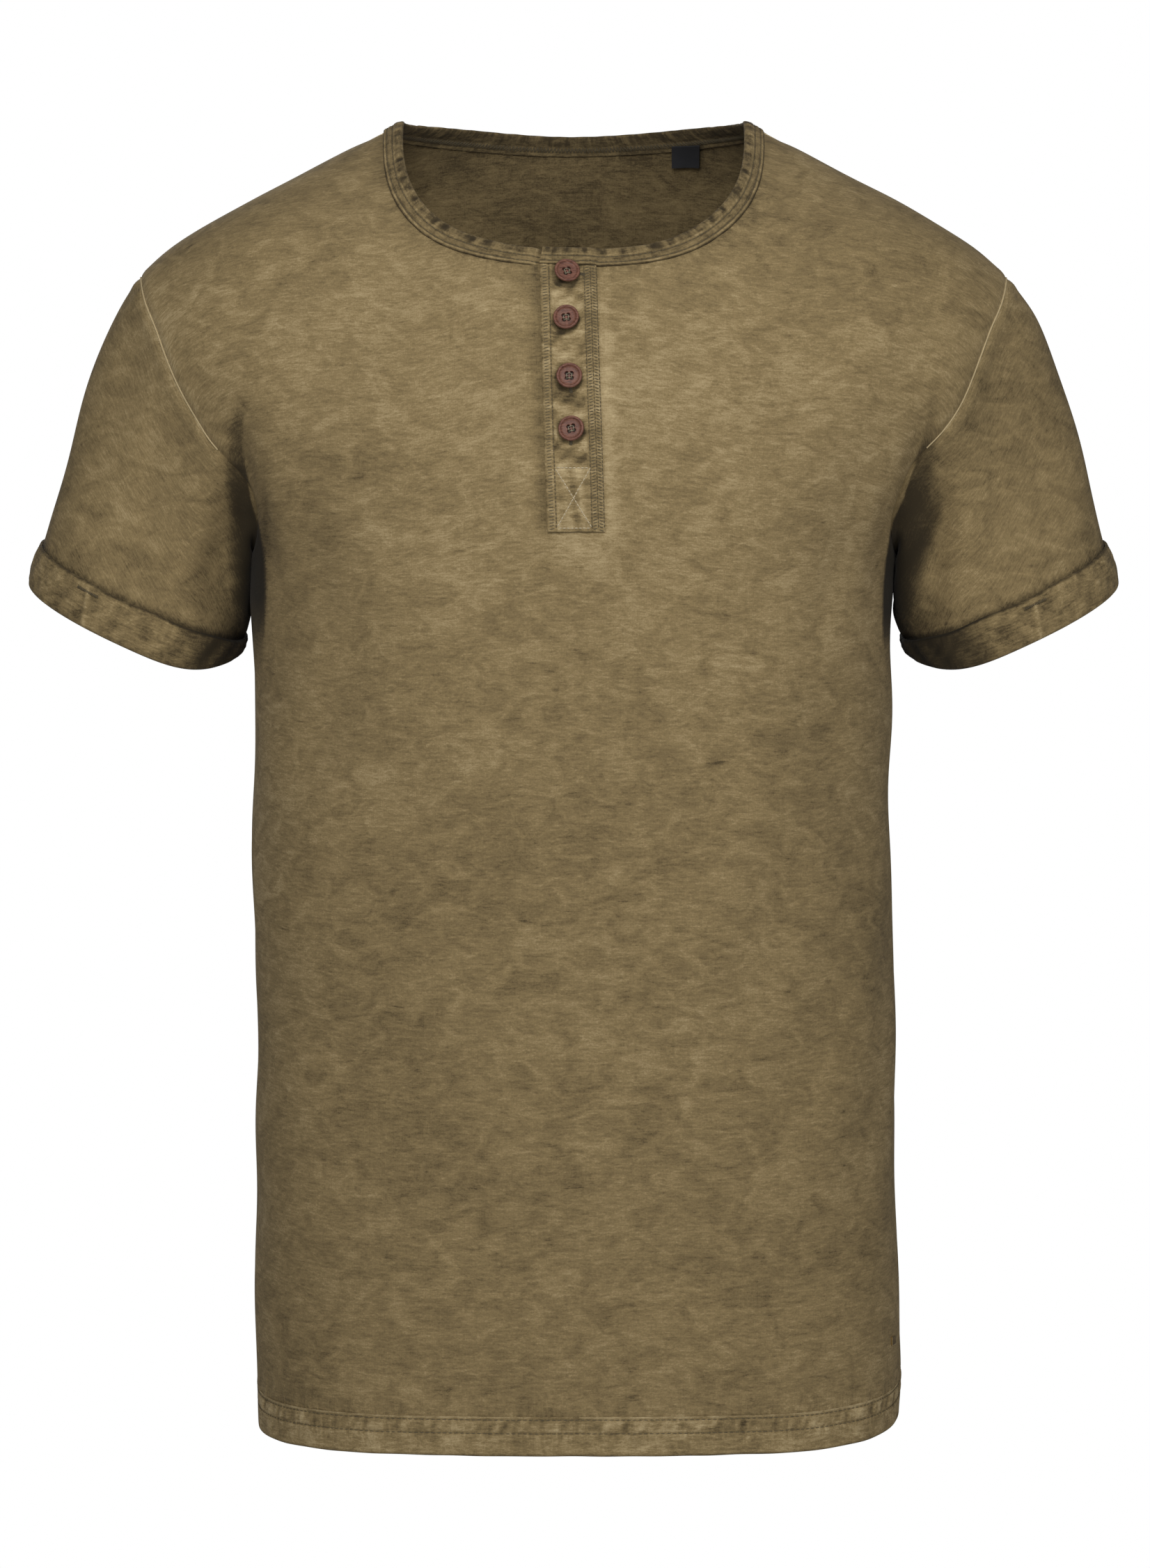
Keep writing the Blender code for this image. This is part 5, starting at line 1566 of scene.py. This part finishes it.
def placket_strip(name):
    """The outer strip: puckered between its stitched edges, and crossed below by its box."""
    height = np.linspace(PLACKET_BOTTOM, PLACKET_TOP + 0.0035, PLACKET_ROWS + 1)[:, None]
    across = PLACKET_HALF_WIDTH * np.linspace(-1, 1, PLACKET_COLUMNS + 1)[None, :]
    from_left = across + PLACKET_HALF_WIDTH
    from_right = PLACKET_HALF_WIDTH - across
    edge = np.minimum(from_left, from_right)
    roll = 0.0006 * np.exp(-edge / 0.0006)
    groove = bell(from_left, FREE_COLUMN, 0.0006)
    groove = groove + bell(from_right, SEWN_COLUMNS[0], 0.0006)
    groove = groove + bell(from_right, SEWN_COLUMNS[1], 0.0004) * 0.7
    in_box = 1 - smooth_step(BOX_TOP - 0.0003, BOX_TOP + 0.0003, height)
    lines = [bell(height, z, 0.0005) for z in (BOX_TOP, BOX_BOTTOM)]
    share = (height - BOX_BOTTOM) / (BOX_TOP - BOX_BOTTOM)
    for way in (share, 1 - share):
        gap = (across - BOX_LEFT - (BOX_RIGHT - BOX_LEFT) * way) * 0.82
        lines.append(bell(gap, 0, 0.0005) * in_box * (height > BOX_BOTTOM))
    inner = (across > BOX_LEFT) * (across < BOX_RIGHT)
    box_lines = np.clip(sum(lines) * inner, 0, 1)
    middle_part = smooth_step(0.004, 0.0065, from_left) * smooth_step(0.006, 0.009, from_right)
    wrinkle = 0.00066 * ripple(height + 0.35 * across, 0.0072, seed=121) * middle_part
    wrinkle = wrinkle + 0.00042 * ripple(height - 0.9 * across, 0.0046, seed=123) * middle_part
    upright = ripple(across + 0.10 * height, 0.0036, seed=127)
    wrinkle = wrinkle * (1 - 0.75 * in_box) + 0.00045 * in_box * upright * middle_part
    pinch = 0.00022 * ripple(height + 0 * across, 0.0026, seed=125) * (1 - middle_part)
    out = placket_out(across) - roll - 0.00035 * groove - 0.00030 * box_lines + wrinkle + pinch
    # Painted shadow round each button, a little below it and to its left
    button_shadow = np.zeros(out.shape)
    for x, z, _, _ in BUTTONS:
        gap = np.hypot(across + placket_middle(height) - x + 0.0005, height - z + 0.0007)
        button_shadow = np.maximum(button_shadow, 1 - smooth_step(0.0066, 0.0083, gap))
    outer = placket_surface(across, height, out)
    back = placket_surface(across, height, placket_out(across) - PLACKET_CLOTH)
    marks = {
        # Painted shade in the wrinkles' troughs, the stitched grooves and along the free edge, with
        # the buttons' painted shadows
        "painted_shade": np.clip(-900 * wrinkle, 0, 0.58) + 0.26 * groove
        + 0.62 * button_shadow + 0.30 * np.exp(-from_left / 0.0010),
        # Paler on the wrinkles' crests: wear and painted highlight
        "worn": np.clip(760 * wrinkle, 0, 0.50) + 0.34 * np.exp(-from_right / 0.0007)
        + 0.40 * box_lines
        + 0.38 * bell(height - BOX_TOP, -0.0011, 0.0008) * inner
        + 0.32 * bell(height - BOX_BOTTOM, 0.0009, 0.0006) * inner,
        "edge_place": edge_marks(height, edge),
    }
    piece = shell(name, outer, back, PLACKET_LOOK, marks)
    normal = outward(body, turn_at(placket_middle(height) + across, height), height)
    return piece, (height[:, 0], across[0], outer, normal)


def under_strip(name):
    """The strip behind the slit that the buttons are sewn to."""
    height = np.linspace(PLACKET_BOTTOM + SEAM_GAP, PLACKET_TOP, 120)[:, None]
    across = UNDER_HALF_WIDTH * np.linspace(-1, 1, 21)[None, :]
    turn = turn_at(placket_middle(height) + across, height)
    out = -CLOTH - 0.0006 + 0.0002 * ripple(height + 0.2 * across, 0.009, seed=131)
    marks = {"edge_place": edge_marks(height, UNDER_HALF_WIDTH - np.abs(across))}
    return shell(name, off_body(turn, height, out), off_body(turn, height, out - PLACKET_CLOTH),
                 PLACKET_LOOK, marks)


def on_strip(strip, x, z, rise):
    """Places on the outer strip's face at distances across and heights, and the normals there."""
    heights, acrosses, outer, normal = strip
    i = np.clip(np.searchsorted(heights, z), 1, len(heights) - 1)
    j = np.clip(np.searchsorted(acrosses, x), 1, len(acrosses) - 1)
    t = ((z - heights[i - 1]) / (heights[i] - heights[i - 1])).clip(0, 1)[..., None]
    s = ((x - acrosses[j - 1]) / (acrosses[j] - acrosses[j - 1])).clip(0, 1)[..., None]

    def at(grid):
        low = grid[i - 1, j - 1] * (1 - s) + grid[i - 1, j] * s
        high = grid[i, j - 1] * (1 - s) + grid[i, j] * s
        return low * (1 - t) + high * t

    up = unit(at(normal))
    return at(outer) + rise * up, up


def placket_threads(strip):
    """The strip's stitching: an overcast column at its free edge, two looped columns at its
    sewn edge, and the box with its cross."""
    made = []
    half = PLACKET_HALF_WIDTH
    z = np.arange(PLACKET_BOTTOM + 0.0010, PLACKET_TOP + 0.0030, 0.00160)
    rng = np.random.default_rng(5)
    slant = 0.0007 + rng.uniform(-0.0002, 0.0002, len(z))
    columns = ((-half + 0.0004, -half + 0.0044, 1), (half - 0.0062, half - 0.0035, 1),
               (half - 0.0029, half - 0.0005, -1))
    for number, (low, high, way) in enumerate(columns, start=1):
        start, up = on_strip(strip, np.full(len(z), low), z, 0.0001)
        end, _ = on_strip(strip, np.full(len(z), high), z + way * slant, 0.0001)
        made.append(stitches(f"placket_bars_{number}", start, end, up, 0.00030, 0.0004,
                             SHADE_THREAD))
    ends = ((BOX_TOP, BOX_TOP), (BOX_BOTTOM, BOX_BOTTOM), (BOX_BOTTOM, BOX_TOP),
            (BOX_TOP, BOX_BOTTOM))
    lines = [((BOX_LEFT, left_z), (BOX_RIGHT, right_z)) for left_z, right_z in ends]
    columns = [((x, PLACKET_BOTTOM + 0.001), (x, PLACKET_TOP))
               for x in (-half + 0.0047, BOX_RIGHT, half - SEWN_COLUMNS[1], half - 0.0002)]
    for name, group, thick, finish in (("placket_box", lines, 0.00042, PALE_THREAD),
                                       ("placket_rows", columns, 0.00024, SHADE_THREAD)):
        rows = []
        for (x0, z0), (x1, z1) in group:
            share = np.linspace(0, 1, 220)
            rows.append(on_strip(strip, x0 + (x1 - x0) * share, z0 + (z1 - z0) * share, 0.00015))
        made.append(edge_rows(name, rows, 0.0021, thick, finish))
    return made


# How far a buttonhole's end lies from its button's middle, across and up, for each button's place
BUTTONHOLE_REACH = {0: (0.0094, 0.0), 2: (0.0008, -0.0080), 3: (-0.0006, -0.0078)}
BUTTONHOLE_BARS = 18


def buttonholes(strip):
    """The buttonholes' ends that show beside the buttons: dense bars round a dark slot."""
    starts, ends, ups = [], [], []
    for number, (reach_x, reach_z) in BUTTONHOLE_REACH.items():
        x, z = BUTTONS[number][:2]
        share = np.linspace(0.35, 1.0, BUTTONHOLE_BARS)
        zig = 0.0009 * (np.arange(BUTTONHOLE_BARS) % 2 * 2 - 1)
        turned = np.array((-reach_z, reach_x)) / math.hypot(reach_x, reach_z)
        a_x, a_z = x + reach_x * share, z + reach_z * share
        x_here = a_x - placket_middle(a_z)
        start, up = on_strip(strip, x_here - zig * turned[0], a_z - zig * turned[1], 0.0001)
        end, _ = on_strip(strip, x_here + zig * turned[0], a_z + zig * turned[1], 0.0001)
        starts.append(start), ends.append(end), ups.append(up)
    return stitches("buttonhole_ends", np.concatenate(starts), np.concatenate(ends),
                    np.concatenate(ups), 0.00030, 0.0003, DARK_THREAD)


def edge_rows(name, rows, pitch, thick, finish=THREAD):
    """Running rows of stitches along several lines, in one piece."""
    found = [row_of_stitches(line, normal, pitch, 0.14) for line, normal in rows]
    starts, ends, ups = (np.concatenate(v) for v in zip(*found))
    return stitches(name, starts, ends, ups, thick, 0.00025, finish)


def looper_rows(name, first, second, pitch, thick):
    """The coverstitch's underside: threads that cross from one row to the other and back."""
    run = lengths_along(first[0])
    at = np.arange(pitch, run[-1] - pitch, pitch)

    def along(line, places):
        return np.stack([np.interp(places, run, line[:, k]) for k in range(3)], axis=-1)

    a, b = along(first[0], at), along(second[0], at + pitch / 2)
    c = along(first[0], at + pitch)
    up = unit(along(first[1], at))
    return stitches(name, np.concatenate([a, b]), np.concatenate([b, c]),
                    np.concatenate([up, up]), thick, 0.0003, DARK_THREAD)


BUTTON_PROFILE = (
    (0.0000, 0.0009), (0.0022, 0.0009), (0.0038, 0.0010), (0.0052, 0.0012), (0.0060, 0.0016),
    (0.00650, 0.0021), (0.00670, 0.0026), (0.00666, 0.0030), (0.00640, 0.00335), (0.00600, 0.0035),
    (0.00565, 0.00345), (0.00530, 0.00310), (0.00500, 0.0027), (0.00455, 0.0025),
    (0.00300, 0.0024), (0.00160, 0.0023), (0.0000, 0.0023),
)
BUTTON_SIDES = 72
HOLE_FROM_AXIS = 0.00178
HOLE_RADIUS = 0.00110
HOLE_DEPTH = 0.0014


def button_placing(x, z, tilt):
    """The button's axis and its two directions across, where it stands off the placket."""
    turn = turn_at(np.array(x), np.array(z))
    out = outward(body, turn, np.array(z))
    centre = off_body(turn, np.array(z), SEAM_GAP + PLACKET_CLOTH + FREE_EDGE_RISE + SEAM_GAP)
    across = unit(np.cross((0, 0, 1), out))
    upright = np.cross(out, across)
    angle = math.radians(tilt)
    out_turned = math.cos(angle) * out + math.sin(angle) * across
    return centre, unit(np.cross(upright, out_turned)), upright, out_turned


def button_piece(name, x, z, tilt, twist):
    """A turned button: rings of the profile round its axis, with four dished holes in its face.

    The face is a polar grid fine enough to push the holes in: a point moves down by the hole's
    depth where it is within the hole's radius of one of the four centres.
    """
    table = np.array(BUTTON_PROFILE)
    run = lengths_along(table)
    at = np.concatenate([np.linspace(0, run[-6], 40), np.linspace(run[-6], run[-1], 60)[1:]])
    radius, out = (np.maximum(through(run, table[:, k], at), 0) for k in (0, 1))
    radius = np.minimum(radius, BUTTON_RADIUS)
    radius[[0, -1]] = 0.00005
    angle = (np.arange(BUTTON_SIDES) * TURN / BUTTON_SIDES)[None, :]
    u, v = radius[:, None] * np.cos(angle), radius[:, None] * np.sin(angle)
    rise = np.broadcast_to(out[:, None], u.shape).copy()
    is_face = (np.arange(len(at)) > len(at) // 2)[:, None]
    hollow = np.zeros(u.shape)
    for k in range(4):
        turned = QUARTER * (k + 0.5) + twist
        gap = np.hypot(u - HOLE_FROM_AXIS * math.cos(turned), v - HOLE_FROM_AXIS * math.sin(turned))
        hollow = np.maximum(hollow, 1 - smooth_step(0.72 * HOLE_RADIUS, HOLE_RADIUS, gap))
    rise = rise - HOLE_DEPTH * hollow * is_face
    # A ring of painted shade in the groove inside the rim; the hollow mark also darkens the holes
    # as painted shade
    rim_groove_shade = 0.55 * bell(radius[:, None], 0.0049, 0.00035)
    centre, across, upright, axis = button_placing(x, z, tilt)
    points = centre + u[..., None] * across + v[..., None] * upright + rise[..., None] * axis
    rows, sides = u.shape
    index = np.arange(rows * sides).reshape(rows, sides)
    ahead = np.roll(index, -1, axis=1)
    faces = np.stack([index[:-1], ahead[:-1], ahead[1:], index[1:]], axis=-1).reshape(-1, 4)
    faces = faces.tolist() + [index[0, ::-1].tolist(), index[-1].tolist()]
    marks = {
        "radius": np.broadcast_to(radius[:, None], u.shape).ravel(),
        "facing": np.broadcast_to(is_face, u.shape).astype(float).ravel(),
        "hollow": (np.maximum(hollow, rim_groove_shade) * is_face).ravel(),
    }
    return add_mesh(name, points.reshape(-1, 3), faces, BUTTON_LOOK, None, marks)


def button_threads(name, x, z, tilt, twist):
    """Four bars of thread between a button's holes, and the shank that stands it off the cloth."""
    centre, across, upright, axis = button_placing(x, z, tilt)

    def at(k, shift, rise):
        turned = QUARTER * (k + 0.5) + twist
        u = HOLE_FROM_AXIS * math.cos(turned) + shift * math.cos(turned + QUARTER)
        v = HOLE_FROM_AXIS * math.sin(turned) + shift * math.sin(turned + QUARTER)
        return centre + u * across + v * upright + rise * axis

    starts, ends = [], []
    for a, b in ((0, 1), (2, 3), (0, 3), (1, 2)):
        for shift in (-0.00022, 0.00018):
            starts.append(at(a, shift, 0.0021))
            ends.append(at(b, shift, 0.0021))
    for k in range(4):
        starts.append(at(k, 0.0002, -0.0005))
        ends.append(at(k, 0.0002, 0.0013))
    ups = np.array([axis] * 8 + [across] * 4)
    rise = np.array([0.0013] * 8 + [0.0] * 4)[:, None, None, None]
    return stitches(name, np.array(starts), np.array(ends), ups, 0.00024, rise, BUTTON_THREAD)


LABEL_ACROSS = (0.0553, 0.0706)
LABEL_TOP = -0.0043
LABEL_BOTTOM = -0.0151


def size_label(name):
    """A small folded tape inside the back of the neck, its lower edge curling off a little."""
    height = np.linspace(LABEL_BOTTOM, LABEL_TOP, 31)[:, None]
    across = np.linspace(*LABEL_ACROSS, 25)[None, :]
    share = (LABEL_TOP - height) / (LABEL_TOP - LABEL_BOTTOM)
    sine = across / section("right", height)
    turn = math.pi - angle_at(sine, section("squareness", height))
    curl = 0.0005 * share**2 + 0.0003 * np.sin(across / 0.0135 * TURN * 0.8) * share
    out = -CLOTH - 0.0017 - curl
    outer = off_body(turn, height, out - 0.0009)
    back = off_body(turn, height, out)
    return shell(name, outer[:, ::-1], back[:, ::-1], LABEL_LOOK, {})


# ---------------------------------------------------------------- making the pieces

# The armhole's ridge shows over the shoulder, from one angle to the other
RIDGE_START, RIDGE_END = -1.9, 1.86
RIDGE_SINK = 0.0008
SEWING_THREAD = 0.00026


def keep(piece, slot, *replaced):
    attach(piece, "root")
    if replaced:
        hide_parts(*replaced)


front_cloth = panel("front_cloth", FRONT)
back_cloth = panel("back_cloth", BACK)
keep(front_cloth, "cloth", "front")
keep(back_cloth, "cloth", "back")
hem_front, hem_front_lines = hem_fold("hem_front", FRONT)
hem_back, hem_back_lines = hem_fold("hem_back", BACK)
keep(hem_front, "cloth")
keep(hem_back, "cloth")
hem_lines = hem_front_lines + hem_back_lines
keep(edge_rows("hem_stitches", hem_lines, 0.0030, SEWING_THREAD, SHADE_THREAD), "cloth")

for word, side in (("left", -1), ("right", 1)):
    keep(sleeve_piece(f"sleeve_cloth_{word}", side), "cloth", f"sleeve_{word}")
    keep(cuff_piece(f"cuff_cloth_{word}", side), "cloth", f"cuff_{word}")
    keep(cuff_tack(f"cuff_tack_{word}", side), "cloth")
    angle = np.linspace(RIDGE_START, RIDGE_END, 420)
    point, _, _, normal = sleeve_seam(angle, side)
    ridge = cord_along(f"armhole_ridge_{word}", point, normal, 0.00045, 0.00042, SEAM_LOOK)
    keep(ridge, "cloth")
    for seam, line, thick in (("shoulder", shoulder_line(side), 0.0007),
                              ("side", side_line(side), 0.0006)):
        up = outward(body, side * QUARTER, line[:, 2])
        ridge = cord_along(f"{seam}_ridge_{word}", line, up, thick, RIDGE_SINK, SEAM_LOOK)
        keep(ridge, "cloth")

band_cloth, band_rows, band_inner_rows = neck_band("band_cloth")
keep(band_cloth, "band", "neck_band")
keep(edge_rows("band_stitches", band_rows, 0.0025, SEWING_THREAD, SHADE_THREAD), "band")
keep(looper_rows("band_looper", *band_inner_rows, 0.0020, 0.00032), "band")

placket_cloth, strip = placket_strip("placket_cloth")
keep(placket_cloth, "placket", "placket_over")
keep(under_strip("placket_back_cloth"), "placket", "placket_under")
for threads in placket_threads(strip):
    keep(threads, "placket")
keep(buttonholes(strip), "placket")

for number, (x, z, tilt, twist) in enumerate(BUTTONS, start=1):
    keep(button_piece(f"button_face_{number}", x, z, tilt, twist), "button", f"button_{number}")
    keep(button_threads(f"button_thread_{number}", x, z, tilt, twist), "button")
keep(size_label("label_tape"), "label", "size_label")

for slot in bpy.data.objects["hem_plate"].material_slots:
    slot.material = BRASS_LOOK


# ---------------------------------------------------------------- floor, light and camera

FLOOR_DROP = 0.85
floor_z = cad_box[0][2] - FLOOR_DROP


def disc(name, z, radius, sides=96):
    """A flat round floor: one ring of points round the middle."""
    angle = np.arange(sides) * TURN / sides
    points = np.stack([radius * np.cos(angle), radius * np.sin(angle), np.full(sides, z)], axis=1)
    return add_mesh(name, points, [list(range(sides))], FLOOR_LOOK)


FLOOR_LOOK, floor_tree, floor_shader = new_material("floor")
fill(floor_tree, floor_shader, {"Base Color": (0.92, 0.92, 0.92, 1), "Roughness": 0.9})
disc("floor", floor_z, 3.4)


def area_light(name, place, aim, size, power):
    data = bpy.data.lights.new(name, "AREA")
    data.shape = "DISK"
    data.size = size
    data.energy = power
    obj = bpy.data.objects.new(name, data)
    obj.location = place
    way = Vector(aim) - Vector(place)
    obj.rotation_euler = way.to_track_quat("-Z", "Y").to_euler()
    bpy.context.scene.collection.objects.link(obj)


area_light("key", (-0.12, -1.65, 0.55), (0, 0, -0.22), 0.8, 15.8)
area_light("fill_right", (1.3, -1.7, 0.0), (0, 0, -0.35), 1.0, 12.0)
area_light("fill_left", (-1.3, -1.7, 0.0), (0, 0, -0.35), 1.0, 6.4)
area_light("overhead", (0.0, -0.5, 1.5), (0, 0, -0.1), 1.2, 4.0)
area_light("behind", (-0.5, 2.6, 0.9), (0, 0, -0.35), 1.4, 20.0)

world = bpy.data.worlds.new("studio")
world.use_nodes = True
bpy.context.scene.world = world
tree = world.node_tree
backdrop = tree.nodes["Background"]
seen = node(tree, "LightPath").outputs["Is Camera Ray"]
tree.links.new(blend(tree, seen, (0.112, 0.112, 0.113, 1), (1, 1, 1, 1)), backdrop.inputs[0])

CAMERA_PLACE = (0.00075, -3.0, -0.3572)
LENS = 127.8
camera_data = bpy.data.cameras.new("camera")
camera_data.sensor_fit = "VERTICAL"
camera_data.sensor_height = 36.0
camera_data.lens = LENS
camera = bpy.data.objects.new("camera", camera_data)
camera.location = CAMERA_PLACE
camera.rotation_euler = (QUARTER, 0, 0)
bpy.context.scene.collection.objects.link(camera)
bpy.context.scene.camera = camera
bpy.context.scene.view_settings.view_transform = "Standard"
